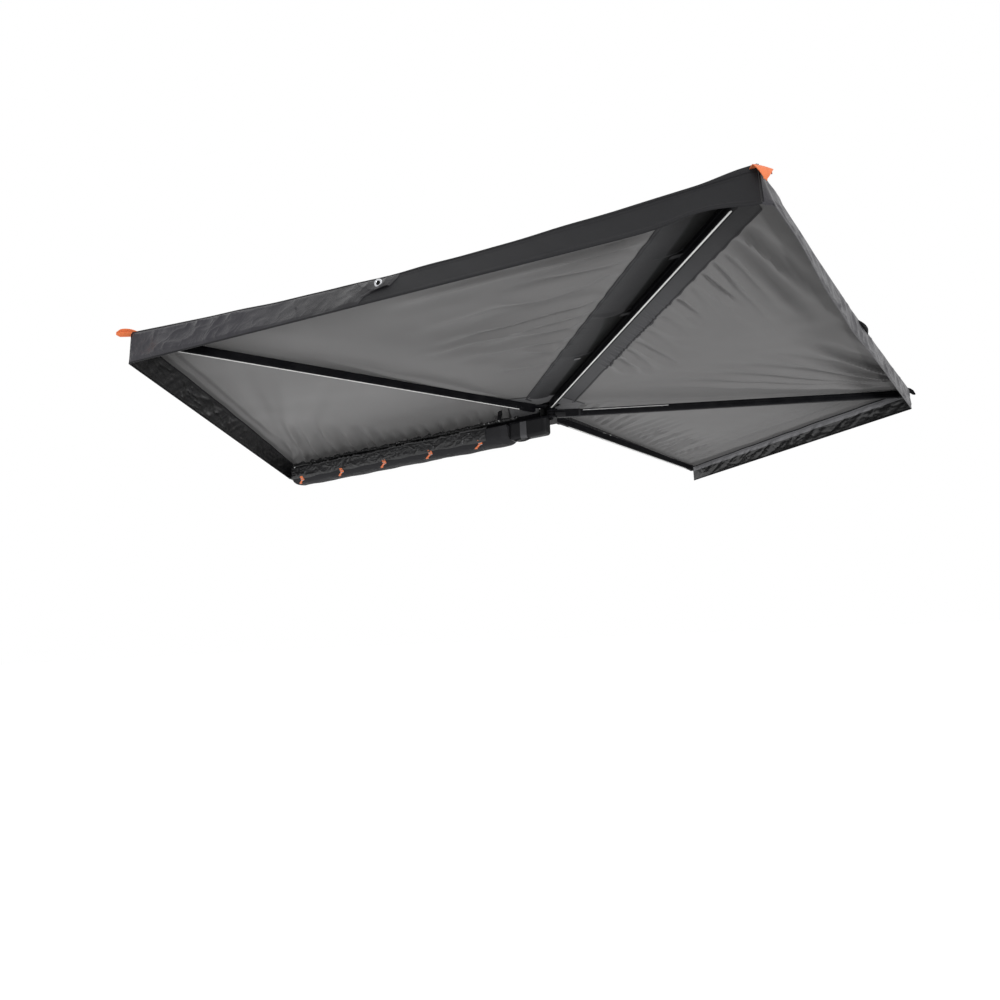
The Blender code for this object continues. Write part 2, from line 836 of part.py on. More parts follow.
def sheet(name, columns, rows, place, thickness):
    """A grid of columns by rows, placed by place(across, out), made solid."""
    bm = bmesh.new()
    bmesh.ops.create_grid(bm, x_segments=columns, y_segments=rows, size=0.5)
    for vertex in bm.verts:
        vertex.co = place(vertex.co.x + 0.5, vertex.co.y + 0.5)
    obj = add_mesh(name, bm, parts)
    modifier = obj.modifiers.new("cloth", "SOLIDIFY")
    modifier.thickness = thickness
    modifier.offset = 0.0
    return smooth(obj)


def canopy_panel(i, root):
    name = f"canopy_panel_{i + 1}"
    panel = sheet(name, *PANEL_GRID, lambda across, out: canopy_point(i, across, out), SHEET)
    hung_from(canopy_cloth(panel), root)


def valance_point(i, across, down):
    """The valance hangs from the panel's bowed edge to a straight, tight lower hem."""
    inset = SEAM_GAP / ARM_REACH
    along = inset + across * (1.0 - 2.0 * inset)
    top = canopy_point(i, along, 1.0) - Vector((0, 0, SHEET / 2 + SKIRT_GAP))
    first = canopy_point(i, 0.0, 1.0)
    last = canopy_point(i, 1.0, 1.0)
    if i == 0:
        outside = (first.x - COVER_OUTER + 2 * COVER_LIP) / (first.x - last.x)
        first = first.lerp(last, outside)
    first = Vector((first.x, first.y, -SKIRT_DROPS[i]))
    last = Vector((last.x, last.y, -SKIRT_DROPS[i + 1]))
    hem = first.lerp(last, along)
    run = (last - first).normalized()
    outward = run.cross(Vector((0, 0, 1)))
    if outward.dot(first + last) < 0:
        outward = -outward
    fold = math.sin(across * SKIRT_FOLDS * 2 * math.pi + down) * math.sin(math.pi * down)
    fold *= math.sin(math.pi * across) ** 0.5
    return top.lerp(hem, down) + outward * SKIRT_FOLD * fold


def valance(i, root):
    name = f"valance_{i + 1}"
    skirt = sheet(name, *SKIRT_GRID, lambda across, down: valance_point(i, across, down), SHEET)
    hung_from(skirt_cloth(skirt), root)


def reinforcing_flap(name, side, width, root):
    """The wide fabric band that hides the second arm's seam, on one side of its tube."""
    panel = 2 if side > 0 else 1
    spread = math.radians(ARM_ANGLES[panel] - ARM_ANGLES[panel - 1])
    below = Vector((0, 0, SHEET / 2 + FLAP_DROP + FLAP_SHEET / 2))

    def place(across, out):
        out = FLAP_SHARES[0] + (FLAP_SHARES[1] - FLAP_SHARES[0]) * out
        reach = HUB_RING + (ARM_REACH - HUB_RING) * out
        share = width * across / (reach * math.sin(spread))
        return canopy_point(panel, share if side > 0 else 1.0 - share, out) - below

    flap = sheet(name, *FLAP_GRID, place, FLAP_SHEET)
    hung_from(paint(flap, (0.035, 0.035, 0.037), 0.8), root)


def travel_cover(root):
    """An open trough of fabric: one lip under the rail, the other lip free."""

    def place(across, along):
        y = COVER_START + COVER_ROWS * COVER_ROW * along
        x, z = cover_section(across, y)
        return Vector((x, y, z))

    cover = sheet("travel_cover", COVER_COLUMNS, COVER_ROWS, place, COVER_SHEET)
    hung_from(cover_cloth(cover), root)


def cover_section(across, y):
    """The trough's section, from its free lip at 0 to the lip under the rail at 1."""
    angle = math.pi * (1.0 - across)
    width = RAIL_SIDE - COVER_SHEET - COVER_OUTER
    x = COVER_OUTER + width * (0.5 + 0.5 * math.cos(angle))
    between = (y - STRAP_FIRST) / STRAP_PITCH
    sag = COVER_SAG * math.sin(math.pi * between) ** 4
    top = COVER_TOP - COVER_LIP * (1.0 - across)
    return x, top - (COVER_DEPTH - COVER_LIP + sag) * abs(math.sin(angle)) ** COVER_SQUARENESS


def cover_straps(root):
    away = COVER_SHEET / 2 + STRAP_GAP + STRAP_SHEET / 2
    first, last = STRAP_COLUMNS
    column = 1.0 / COVER_COLUMNS
    for number in range(STRAP_COUNT):
        middle = STRAP_FIRST + number * STRAP_PITCH

        def place(across, along):
            y = middle + STRAP_WIDTH * (along - 0.5)
            share = (first + (last - first) * across) * column
            x0, z0 = cover_section(max(0.0, share - column), middle)
            x, z = cover_section(share, middle)
            x1, z1 = cover_section(share + column, middle)
            before = Vector((z - z0, 0.0, x0 - x)).normalized()
            after = Vector((z1 - z, 0.0, x - x1)).normalized()
            outward = (before + after).normalized()
            return Vector((x, y, z)) + outward * away / outward.dot(after)

        strap = sheet(f"cover_strap_{number + 1}", last - first, 1, place, STRAP_SHEET)
        hung_from(orange_webbing(strap), root)


def hub_top_cover(root):
    low = SHEET / 2 + UPPER_PLATE_TOP + TOUCH + PIN_HEAD_HEIGHT
    low = max(low, SHEET / 2 + TOUCH)
    disc = extrusion(
        "hub_top_cover",
        [arc((0, 0), HUB_COVER_RADIUS, 0, 352, 44)],
        low,
        low + HUB_COVER_THICKNESS,
    )
    hung_from(canopy_cloth(disc), root)


clear_scene()
parts = collection("vehicle_side_awning")
helpers = collection("cutters")
frame_root = empty("awning_frame", SHIFT)
base_rail(frame_root)
rack_brackets(frame_root)
hub_bracket(frame_root)
king_pin_stack(frame_root)
hub_housing(frame_root)
travel_cover(frame_root)
cover_straps(frame_root)
hub_top_cover(frame_root)
for arm in range(4):
    turn = math.radians(ARM_ANGLES[arm] + 90.0)
    arm_axis = empty(f"arm_{arm + 1}_axis", SHIFT, turn)
    knuckle(arm, arm_axis)
    arm_tube(arm, arm_axis)
    corner_tab(arm, arm_axis)
    canopy_panel(arm, frame_root)
    valance(arm, frame_root)
reinforcing_flap("arm_2_flap_near", -1.0, FLAP_WIDTHS[0], frame_root)
reinforcing_flap("arm_2_flap_far", 1.0, FLAP_WIDTHS[1], frame_root)
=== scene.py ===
"""The looks of a free-standing fan awning for the side of a vehicle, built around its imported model.

Metres, +Z up, +X towards the vehicle, +Y forward along the base rail. Most pieces are placed from
the king pin, at the level of the canopy's plane, and moved to the frame's zero when they are made.
"""

import math
import random

import bmesh
import bpy
import numpy as np
from mathutils import Matrix, Vector

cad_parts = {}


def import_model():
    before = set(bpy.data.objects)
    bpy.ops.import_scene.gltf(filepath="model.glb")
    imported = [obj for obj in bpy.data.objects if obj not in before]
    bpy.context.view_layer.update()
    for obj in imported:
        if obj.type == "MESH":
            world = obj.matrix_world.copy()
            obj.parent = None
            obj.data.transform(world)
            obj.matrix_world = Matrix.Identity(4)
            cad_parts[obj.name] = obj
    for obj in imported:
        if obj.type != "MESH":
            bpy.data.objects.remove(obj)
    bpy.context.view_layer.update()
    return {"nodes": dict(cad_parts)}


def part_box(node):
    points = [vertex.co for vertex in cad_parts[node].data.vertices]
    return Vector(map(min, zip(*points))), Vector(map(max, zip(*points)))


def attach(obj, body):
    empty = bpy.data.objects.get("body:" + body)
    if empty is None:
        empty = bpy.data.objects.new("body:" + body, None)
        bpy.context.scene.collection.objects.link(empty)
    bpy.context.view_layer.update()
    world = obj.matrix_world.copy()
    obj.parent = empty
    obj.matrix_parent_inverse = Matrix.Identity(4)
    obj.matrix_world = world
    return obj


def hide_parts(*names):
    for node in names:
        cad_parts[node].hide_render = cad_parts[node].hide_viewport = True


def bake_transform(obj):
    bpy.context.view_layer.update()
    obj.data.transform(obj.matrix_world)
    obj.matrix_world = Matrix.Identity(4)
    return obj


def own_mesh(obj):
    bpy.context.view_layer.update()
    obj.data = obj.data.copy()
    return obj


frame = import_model()

# The king pin, from the frame. Its head stands this far above the canopy's plane.
PIN_HEAD = 0.0013
pin_low, pin_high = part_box("king_pin")
PIN = np.array([(pin_low.x + pin_high.x) / 2, (pin_low.y + pin_high.y) / 2, pin_high.z - PIN_HEAD])

# Sizes of the model, in its own terms.
ARM_ANGLES = (62.0, 135.0, 208.5, 262.0)
ARM_REACH = 2.48
ARM_PITCH = 0.036
ROOT_DROPS = (0.0, 0.0, 0.036, 0.036)
TUBE_WIDTH = 0.026
TUBE_HEIGHT = 0.048
TUBE_TOP = -0.005
TUBE_START = 0.1903
TUBE_LENGTH = 2.2097
CAP_LENGTH = 0.030
HUB_RING = 0.075
CLOTH_REACH = ARM_REACH - HUB_RING
BASE_X = 0.090
BASE_START = 0.115
BASE_END = 2.570
BASE_Z = -0.0124
SEAM_GAP = 0.0006
FREE_EDGE = 0.012
EDGE_PULLS = (0.015, 0.075, 0.015, 0.015)
SHEET = 0.001
SKIRT_DROPS = (0.160, 0.160, 0.137, 0.137, 0.137)
FLAP_SHEET = 0.0014
RAIL_END = 2.550
COVER_OUTER = -0.075
COVER_INNER = 0.125
COVER_TOP = -0.0923
COVER_DEPTH = 0.148
COVER_LIP = 0.016
COVER_START = 0.320
COVER_END = 2.410
STRAP_FIRST = 0.540
STRAP_PITCH = 0.440
STRAP_WIDTH = 0.025

# Sizes of this script's own: the two flaps' widths and places, the gap over the valances, how far
# outward the first valance's hem runs over its length, the turn of the housing's lower edge, and
# the height that no fold passes.
FLAP_WIDTHS = (0.186, 0.156)
FLAP_SHARES = (0.045, 0.965)
SKIRT_GAP = 0.0009
HEM_OUTWARD = 0.107
HEM_LENGTH = 2.28
HOUSING_ROUND = 0.022
FOLD_CAP = 0.014

BODIES = ("root", "arm_1", "arm_2", "arm_3", "arm_4")


def ramp(value, low, high):
    """Smoothly up from 0 at the low value to 1 at the high one."""
    share = np.clip((np.asarray(value, float) - low) / (high - low), 0.0, 1.0)
    return share * share * (3.0 - 2.0 * share)


def bell(value, middle, width):
    """A soft bump of height 1."""
    return np.exp(-(((value - middle) / width) ** 2))


def arch(share):
    """Up from 0 to 1 and down again over a share from 0 to 1."""
    return np.sin(math.pi * share)


def blunt(value, power):
    """A sine or cosine made squarer, with its sign."""
    return np.sign(value) * np.abs(value) ** power


def full_turn(count):
    return np.linspace(0.0, 2 * math.pi, count, endpoint=False)


def net(across, down):
    """Two grids of values, from (first, last, count) of the columns and of the rows."""
    return np.meshgrid(np.linspace(*across), np.linspace(*down))


def points(x, y, z):
    """Three coordinates, numbers or arrays, as one array of points."""
    return np.stack(np.broadcast_arrays(x, y, z), axis=-1).astype(float)


def in_frame(place):
    """A point placed from the king pin, in the frame's own coordinates."""
    return tuple(np.asarray(place) + PIN)


def tell(piece, body=None, node=None):
    """Says what a piece rides on and which node it stands for: attaches it, and hides the node."""
    if body:
        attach(piece, body)
    if node:
        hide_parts(node)


# Materials

def add_node(tree, kind, inputs=(), **settings):
    """Adds a shader node. Inputs are (name or number, value or socket) pairs."""
    made = tree.nodes.new(kind)
    for name, value in settings.items():
        setattr(made, name, value)
    for name, value in inputs:
        if isinstance(value, bpy.types.NodeSocket):
            tree.links.new(value, made.inputs[name])
        else:
            made.inputs[name].default_value = value
    return made


def finish(name, colour, roughness, metallic=0.0, sheen=0.0, specular=0.5):
    """A material with a Principled shader. Returns the material, its tree and its shader."""
    made = bpy.data.materials.new(name)
    made.use_nodes = True
    shader = made.node_tree.nodes["Principled BSDF"]
    shader.inputs["Base Color"].default_value = (*colour, 1.0)
    shader.inputs["Roughness"].default_value = roughness
    shader.inputs["Metallic"].default_value = metallic
    shader.inputs["Sheen Weight"].default_value = sheen
    shader.inputs["Specular IOR Level"].default_value = specular
    made.diffuse_color = (*colour, 1.0)
    return made, made.node_tree, shader


def place_of(tree, cloth=False):
    """The surface's own coordinates in metres: along the cloth's threads, or in the object."""
    if cloth:
        return add_node(tree, "ShaderNodeAttribute", attribute_name="cloth").outputs["Vector"]
    return add_node(tree, "ShaderNodeTexCoord").outputs["Object"]


def speckle(tree, place, scale, detail=3.0, stretch=(1.0, 1.0, 1.0)):
    """Noise of about 1 / scale metres."""
    mapped = add_node(tree, "ShaderNodeMapping", [("Vector", place), ("Scale", stretch)])
    made = add_node(
        tree, "ShaderNodeTexNoise", [("Vector", mapped.outputs[0]), ("Scale", scale), ("Detail", detail)]
    )
    return made.outputs["Fac"]


def remap(tree, value, low, high, to_low, to_high):
    made = add_node(
        tree, "ShaderNodeMapRange", [(0, value), (1, low), (2, high), (3, to_low), (4, to_high)]
    )
    return made.outputs[0]


def combine(tree, operation, a, b):
    return add_node(tree, "ShaderNodeMath", [(0, a), (1, b)], operation=operation).outputs[0]


def shaded(colour, share=1.0):
    """A colour made darker or lighter, with its alpha."""
    return (*(c * share for c in colour), 1.0)


def tint(tree, shader, value, first, second):
    """Colours the surface between two colours, or sockets, by a value from 0 to 1."""
    mixed = add_node(tree, "ShaderNodeMix", [(0, value), (6, first), (7, second)], data_type="RGBA")
    tree.links.new(mixed.outputs[2], shader.inputs["Base Color"])


def roughen(tree, shader, value, smooth, rough):
    tree.links.new(remap(tree, value, 0.3, 0.7, smooth, rough), shader.inputs["Roughness"])


def bump(tree, shader, height, distance, rounding=0.0):
    """Raises the surface by a height, on edges that look rounded."""
    inputs = [("Strength", 1.0), ("Distance", distance), ("Height", height)]
    if rounding:
        edges = add_node(tree, "ShaderNodeBevel", [("Radius", rounding)], samples=4)
        inputs.append(("Normal", edges.outputs[0]))
    made = add_node(tree, "ShaderNodeBump", inputs)
    tree.links.new(made.outputs[0], shader.inputs["Normal"])


def threads(tree, place, scale, distortion, way):
    """Parallel threads across one way, 3.2 * scale of them to the metre."""
    inputs = [("Vector", place), ("Scale", scale), ("Distortion", distortion)]
    return add_node(tree, "ShaderNodeTexWave", inputs, bands_direction=way).outputs["Fac"]


def seen_directly(tree):
    """1 for a ray from the camera, off a gloss or through glass, else 0."""
    rays = add_node(tree, "ShaderNodeLightPath")
    seen = combine(tree, "MAXIMUM", rays.outputs["Is Camera Ray"], rays.outputs["Is Glossy Ray"])
    return combine(tree, "MAXIMUM", seen, rays.outputs["Is Transmission Ray"])


STITCH_PITCH = 0.0042
STITCH_WIDTH = 0.0010
STITCH_ROWS = (0.0040, 0.0110)


def shade_and_stitch(tree, shader, place):
    """Darkens the cloth by its stored shade, and draws two rows of stitches beside its edges."""
    colour = shader.inputs["Base Color"].links[0].from_socket
    shade = add_node(tree, "ShaderNodeAttribute", attribute_name="shade").outputs["Fac"]
    edge = add_node(tree, "ShaderNodeAttribute", attribute_name="edge").outputs["Fac"]
    split = add_node(tree, "ShaderNodeSeparateXYZ", [(0, place)])
    run = combine(tree, "ADD", split.outputs[0], split.outputs[1])
    step = combine(tree, "FRACT", combine(tree, "DIVIDE", run, STITCH_PITCH), 0.0)
    dash = combine(tree, "GREATER_THAN", step, 0.35)
    rows = []
    for distance in STITCH_ROWS:
        inputs = [(0, edge), (1, distance), (2, STITCH_WIDTH / 2)]
        rows.append(add_node(tree, "ShaderNodeMath", inputs, operation="COMPARE").outputs[0])
    stitch = combine(tree, "MULTIPLY", combine(tree, "MAXIMUM", *rows), dash)
    both = combine(tree, "MAXIMUM", shade, combine(tree, "MULTIPLY", stitch, 0.55))
    tint(tree, shader, both, colour, (0.003, 0.003, 0.003, 1.0))


def cloth_finish(name, colour, roughness, pitch, specular=0.5, variation=0.10):
    """Woven and coated cloth: weave, slubs, and broad tone changes from handling."""
    made, tree, shader = finish(name, colour, roughness, specular=specular)
    place = place_of(tree, cloth=True)
    broad = speckle(tree, place, 2.2, 4.0)
    slubs = speckle(tree, place, 60.0, 2.0, (1.0, 9.0, 1.0))
    both = combine(
        tree, "ADD", remap(tree, broad, 0.3, 0.7, 0.0, 0.7), remap(tree, slubs, 0.3, 0.7, 0.0, 0.3)
    )
    tint(tree, shader, both, shaded(colour, 1.0 - variation), shaded(colour, 1.0 + variation))
    shade_and_stitch(tree, shader, place)
    roughen(tree, shader, broad, roughness - 0.05, roughness + 0.05)
    warp, weft = (threads(tree, place, 1.0 / (2.0 * pitch), 0.4, way) for way in "XY")
    bump(tree, shader, combine(tree, "MULTIPLY", warp, weft), 0.00012)
    return made


def coated_metal():
    """Black powder coat on an extrusion: fine texture, smears of tone and gloss, and rounded edges."""
    made, tree, shader = finish("black_coat", (0.004, 0.004, 0.005), 0.50, specular=0.07)
    place = place_of(tree)
    grain = speckle(tree, place, 900.0, 2.0)
    smears = speckle(tree, place, 14.0, 5.0)
    worn = remap(tree, smears, 0.35, 0.75, 0.0, 1.0)
    tint(tree, shader, worn, (0.003, 0.003, 0.004, 1.0), (0.007, 0.007, 0.008, 1.0))
    roughen(tree, shader, smears, 0.44, 0.58)
    bump(tree, shader, grain, 0.00008, 0.0012)
    return made


def plastic(name, colour, roughness, specular=0.5):
    """Moulded plastic with a fine spark texture."""
    made, tree, shader = finish(name, colour, roughness, specular=specular)
    place = place_of(tree)
    grain = speckle(tree, place, 1400.0, 1.0)
    worn = speckle(tree, place, 11.0, 4.0)
    tint(tree, shader, worn, shaded(colour, 0.8), shaded(colour, 1.25))
    roughen(tree, shader, worn, roughness - 0.06, roughness + 0.06)
    bump(tree, shader, grain, 0.00010, 0.0015)
    return made


def bright_metal(name, colour, roughness):
    """Plated steel with faint spangle and turning marks."""
    made, tree, shader = finish(name, colour, roughness, metallic=1.0)
    place = place_of(tree)
    spangle = add_node(tree, "ShaderNodeTexVoronoi", [("Vector", place), ("Scale", 350.0)])
    flakes = remap(tree, spangle.outputs["Distance"], 0.0, 1.0, 0.0, 1.0)
    tint(tree, shader, flakes, shaded(colour, 0.85), shaded(colour))
    smears = speckle(tree, place, 90.0, 4.0)
    roughen(tree, shader, smears, roughness - 0.08, roughness + 0.1)
    bump(tree, shader, smears, 0.00005, 0.0006)
    return made


def webbing(name, colour, sheen=0.1, specular=0.5):
    """Woven webbing: ribs across the strap and a herringbone along it."""
    made, tree, shader = finish(name, colour, 0.72, sheen=sheen, specular=specular)
    place = place_of(tree, cloth=True)
    ribs = threads(tree, place, 230.0, 0.6, "Y")
    cords = threads(tree, place, 150.0, 0.3, "DIAGONAL")
    height = combine(tree, "ADD", ribs, cords)
    fade = remap(tree, speckle(tree, place, 40.0, 3.0), 0.3, 0.7, 0.85, 1.0)
    # Painted shade: the weave's hollows are darker.
    shade = combine(tree, "MULTIPLY", remap(tree, height, 0.0, 2.0, 0.55, 1.0), fade)
    tint(tree, shader, shade, shaded(colour, 0.55), shaded(colour))
    bump(tree, shader, height, 0.0003)
    return made


CANOPY = cloth_finish("canopy_grey_cloth", (0.160, 0.158, 0.158), 0.58, 0.0007, specular=0.25, variation=0.05)
HEM_BAND = cloth_finish("hem_band_cloth", (0.120, 0.120, 0.124), 0.60, 0.0007, specular=0.25)
SKIRT = cloth_finish("skirt_charcoal_cloth", (0.012, 0.012, 0.0135), 0.60, 0.0009, specular=0.18)
SKIRT_LINING = cloth_finish("skirt_lining_cloth", (0.010, 0.010, 0.011), 0.34, 0.0009, specular=0.75)
# A pale band for the fourth valance's inner side: painted light.
LIT_BAND = cloth_finish("painted_light_band_cloth", (0.22, 0.22, 0.23), 0.55, 0.0009, specular=0.25)
OVERLAY = cloth_finish("overlay_cloth", (0.014, 0.013, 0.018), 0.38, 0.0009, specular=0.42)
FLAP = cloth_finish("flap_cloth", (0.074, 0.074, 0.078), 0.60, 0.0009, specular=0.08)
SLEEVE = cloth_finish("sleeve_lining_cloth", (0.006, 0.006, 0.006), 0.80, 0.0009, specular=0.10)
BINDING = cloth_finish("binding_tape", (0.014, 0.014, 0.015), 0.75, 0.0012, specular=0.20)
COVER = cloth_finish("cover_crinkled_cloth", (0.014, 0.014, 0.015), 0.42, 0.0010, specular=0.55)
COVER_FACE = cloth_finish("cover_smooth_cloth", (0.024, 0.024, 0.026), 0.75, 0.0010, specular=0.10)
METAL = coated_metal()
MOULDING = plastic("black_moulding_finish", (0.011, 0.011, 0.012), 0.55, 0.18)
GREY_MOULDING = plastic("grey_moulding_finish", (0.060, 0.060, 0.064), 0.45)
NYLON = plastic("black_nylon_finish", (0.006, 0.006, 0.006), 0.50, 0.10)
PALE = plastic("pale_strip_finish", (0.78, 0.78, 0.76), 0.30)
ZINC = bright_metal("zinc_finish", (0.62, 0.63, 0.65), 0.32)
ORANGE = webbing("orange_webbing_finish", (0.86, 0.20, 0.055))
# A darker copy of the orange: painted shade for the tab's tucked fold.
SHADED_ORANGE = webbing("shaded_orange_webbing_finish", (0.30, 0.030, 0.020))
BLACK_WEBBING = webbing("black_webbing_finish", (0.007, 0.007, 0.008), 0.0, 0.10)
# A painted highlight: the grey line on the third arm's side.
HIGHLIGHT_STRIP = plastic("painted_highlight_strip_finish", (0.30, 0.30, 0.30), 0.35)


# Meshes

def add_mesh(name, vertices, faces, materials, face_material=None, cloth=None, shade=None, edge=None):
    """A mesh from points placed from the king pin, with its finishes and its cloth's attributes."""
    mesh = bpy.data.meshes.new(name)
    mesh.from_pydata((np.asarray(vertices) + PIN).tolist(), [], [tuple(f) for f in faces])
    for material in materials:
        mesh.materials.append(material)
    if face_material is not None:
        mesh.polygons.foreach_set("material_index", np.asarray(face_material, np.int32))
    if cloth is not None:
        stored = mesh.attributes.new("cloth", "FLOAT_VECTOR", "POINT")
        stored.data.foreach_set("vector", np.asarray(cloth, np.float32).ravel())
    for label, values in (("shade", shade), ("edge", edge)):
        if values is not None:
            stored = mesh.attributes.new(label, "FLOAT", "POINT")
            stored.data.foreach_set("value", np.asarray(values, np.float32).ravel())
    mesh.shade_smooth()
    mesh.set_sharp_from_angle(angle=math.radians(40.0))
    obj = bpy.data.objects.new(name, mesh)
    bpy.context.scene.collection.objects.link(obj)
    return obj


def lengths_along(grid, axis):
    steps = np.linalg.norm(np.diff(grid, axis=axis), axis=-1)
    pad = np.zeros_like(np.take(steps, [0], axis=axis))
    return np.cumsum(np.concatenate([pad, steps], axis=axis), axis=axis)


def grid_normals(grid):
    normal = np.cross(np.gradient(grid, axis=1), np.gradient(grid, axis=0))
    length = np.linalg.norm(normal, axis=-1, keepdims=True)
    return normal / np.maximum(length, 1e-12)


def cloth_sheet(
    name, grid, thickness, face, back=None, back_rows=None, panel=None, weights=None, shade=0.0, up=None
):
    """A closed sheet on a grid of points (rows, columns, 3). The face lies on the normal's side.

    back_rows gives some of the back's rows another finish, as (first, end, material). With up, the
    grid is turned so that its face looks that way."""
    if up is not None and (grid_normals(grid) @ np.asarray(up, float)).mean() < 0:
        grid = grid[:, ::-1]
        shape = grid.shape[:2]
        shade = np.broadcast_to(shade, shape)[:, ::-1]
        if weights is not None:
            weights = np.broadcast_to(weights, shape)[:, ::-1]
    rows, columns = grid.shape[:2]
    normal = grid_normals(grid)
    vertices = np.concatenate(
        [(grid + normal * thickness / 2).reshape(-1, 3), (grid - normal * thickness / 2).reshape(-1, 3)]
    )
    index = np.arange(rows * columns).reshape(rows, columns)
    quads = np.stack([index[:-1, :-1], index[:-1, 1:], index[1:, 1:], index[1:, :-1]], -1).reshape(-1, 4)
    under = quads[:, ::-1] + rows * columns
    loop = np.concatenate([index[0, :-1], index[:-1, -1], index[-1, :0:-1], index[:0:-1, 0]])
    after = np.roll(loop, -1)
    rim = np.stack([after, loop, loop + rows * columns, after + rows * columns], -1)
    faces = np.concatenate([quads, under, rim])
    materials = [face, back or face]
    choice = np.concatenate([np.zeros(len(quads)), np.ones(len(under)), np.zeros(len(rim))])
    if back_rows is not None:
        low, high, material = back_rows
        materials.append(material)
        row = np.repeat(np.arange(rows - 1), columns - 1)
        chosen = (row >= low) & (row < high)
        choice[len(quads) : len(quads) + len(under)][chosen] = 2
    wide, long = lengths_along(grid, 1), lengths_along(grid, 0)
    threads = np.concatenate([np.stack([wide, long, np.zeros((rows, columns))], -1).reshape(-1, 3)] * 2)
    edge = np.minimum(np.minimum(wide, wide[:, -1:] - wide), np.minimum(long, long[-1:] - long))
    shades = np.concatenate([np.broadcast_to(shade, (rows, columns)).ravel()] * 2)
    edges = np.concatenate([edge.ravel()] * 2)
    obj = add_mesh(name, vertices, faces.tolist(), materials, choice, threads, shades, edges)
    if panel is not None:
        span(obj)
    return obj


def span(obj):
    """Bakes the placement of a panel's piece into its mesh."""
    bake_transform(obj)


def lofted(name, sections, material, panel=None):
    """A skin through closed sections (count, around, 3), with its ends filled."""
    count, around = sections.shape[:2]
    index = np.arange(count * around).reshape(count, around)
    nxt = np.roll(index, -1, axis=1)
    quads = np.stack([index[:-1], nxt[:-1], nxt[1:], index[1:]], -1).reshape(-1, 4).tolist()
    quads.append(index[0, ::-1].tolist())
    quads.append(index[-1].tolist())
    wide, long = lengths_along(sections, 1), lengths_along(sections, 0)
    threads = np.stack([wide, long, np.zeros_like(wide)], -1).reshape(-1, 3)
    obj = add_mesh(name, sections.reshape(-1, 3), quads, [material], cloth=threads)
    flipped = bmesh.new()
    flipped.from_mesh(obj.data)
    bmesh.ops.recalc_face_normals(flipped, faces=flipped.faces)
    flipped.to_mesh(obj.data)
    flipped.free()
    if panel is not None:
        span(obj)
    return obj


def cord(name, path, radii, material, around=12, squeeze=1.0):
    """A round or flattened cord along a path of points. The section stays level: squeeze is its
    height over its width."""
    path = np.asarray(path, float)
    along = np.gradient(path, axis=0)
    along /= np.maximum(np.linalg.norm(along, axis=1, keepdims=True), 1e-9)
    side = np.cross(along, (0.0, 0.0, 1.0))
    flat = np.linalg.norm(side, axis=1, keepdims=True) < 1e-3
    side = np.where(flat, np.array([1.0, 0.0, 0.0]), side)
    side /= np.linalg.norm(side, axis=1, keepdims=True)
    over = np.cross(side, along)
    angle = full_turn(around)
    radii = np.broadcast_to(np.asarray(radii, float), (len(path),))[:, None, None]
    sections = path[:, None] + radii * (
        side[:, None] * np.cos(angle)[None, :, None] + over[:, None] * squeeze * np.sin(angle)[None, :, None]
    )
    return lofted(name, sections, material)


def ring(name, centre, normal, radius, thickness, material, around=28, tube=10):
    """A round ring, such as an eyelet."""
    normal = np.asarray(normal, float) / np.linalg.norm(normal)
    first = np.cross(normal, (0.0, 0.0, 1.0))
    first /= np.linalg.norm(first)
    second = np.cross(normal, first)
    turn = full_turn(around)[:, None, None]
    small = full_turn(tube)[None, :, None]
    out = first * np.cos(turn) + second * np.sin(turn)
    vertices = centre + out * (radius + thickness * np.cos(small)) + normal * thickness * 0.6 * np.sin(small)
    index = np.arange(around * tube).reshape(around, tube)
    nxt = np.roll(index, -1, axis=0)
    quads = np.stack([index, nxt, np.roll(nxt, -1, axis=1), np.roll(index, -1, axis=1)], -1).reshape(-1, 4)
    return add_mesh(name, vertices.reshape(-1, 3), quads.tolist(), [material])


def plate(name, centre, along, over, size, material, rounding):
    """A small block with rounded edges: its length lies along, its thickness over."""
    along = np.asarray(along, float) / np.linalg.norm(along)
    over = np.asarray(over, float) - along * (np.asarray(over, float) @ along)
    over /= np.linalg.norm(over)
    side = np.cross(over, along)
    length, width, thickness = size
    made = bmesh.new()
    bmesh.ops.create_cube(made, size=1.0)
    for vertex in made.verts:
        x, y, z = vertex.co
        vertex.co = Vector(np.asarray(centre) + along * x * length + side * y * width + over * z * thickness)
    bmesh.ops.bevel(made, geom=made.edges[:], offset=rounding, segments=3, affect="EDGES", profile=0.5)
    made.verts.ensure_lookup_table()
    vertices = [tuple(v.co) for v in made.verts]
    faces = [[v.index for v in face.verts] for face in made.faces]
    made.free()
    return add_mesh(name, vertices, faces, [material])


# The canopy's shape

def arm_plan(i, along, aside=0.0, z=0.0):
    """Points along arm i: along its tube, aside of its centre line, and at a level."""
    angle = math.radians(ARM_ANGLES[i])
    offset = (i - 1.5) * ARM_PITCH + np.asarray(aside, float)
    along = np.asarray(along, float)
    x = -math.sin(angle) * along - math.cos(angle) * offset
    y = math.cos(angle) * along - math.sin(angle) * offset
    return points(x, y, z)


def border(i, out, side):
    """The border between two panels, out from the hub. Border -1 lies on the rail."""
    out = np.asarray(out, float)
    if i < 0:
        return points(BASE_X, BASE_START + (BASE_END - BASE_START) * out, BASE_Z)
    reach = HUB_RING + CLOTH_REACH * out
    return arm_plan(i, reach, FREE_EDGE if i == 3 and side < 0 else side * SEAM_GAP / 2)


def bare_canopy(i, across, out):
    """The taut panel, its outer edge pulled in between its corners."""
    across, out = np.broadcast_arrays(np.asarray(across, float), np.asarray(out, float))
    near = border(i - 1, out, 1.0)
    far = border(i, out, -1.0)
    place = near + (far - near) * across[..., None]
    bow = 4.0 * across * (1.0 - across) * out**3
    away = place * (1.0, 1.0, 0.0)
    away = away / np.maximum(np.linalg.norm(away, axis=-1, keepdims=True), 1e-9)
    return place - away * (EDGE_PULLS[i] * bow)[..., None]


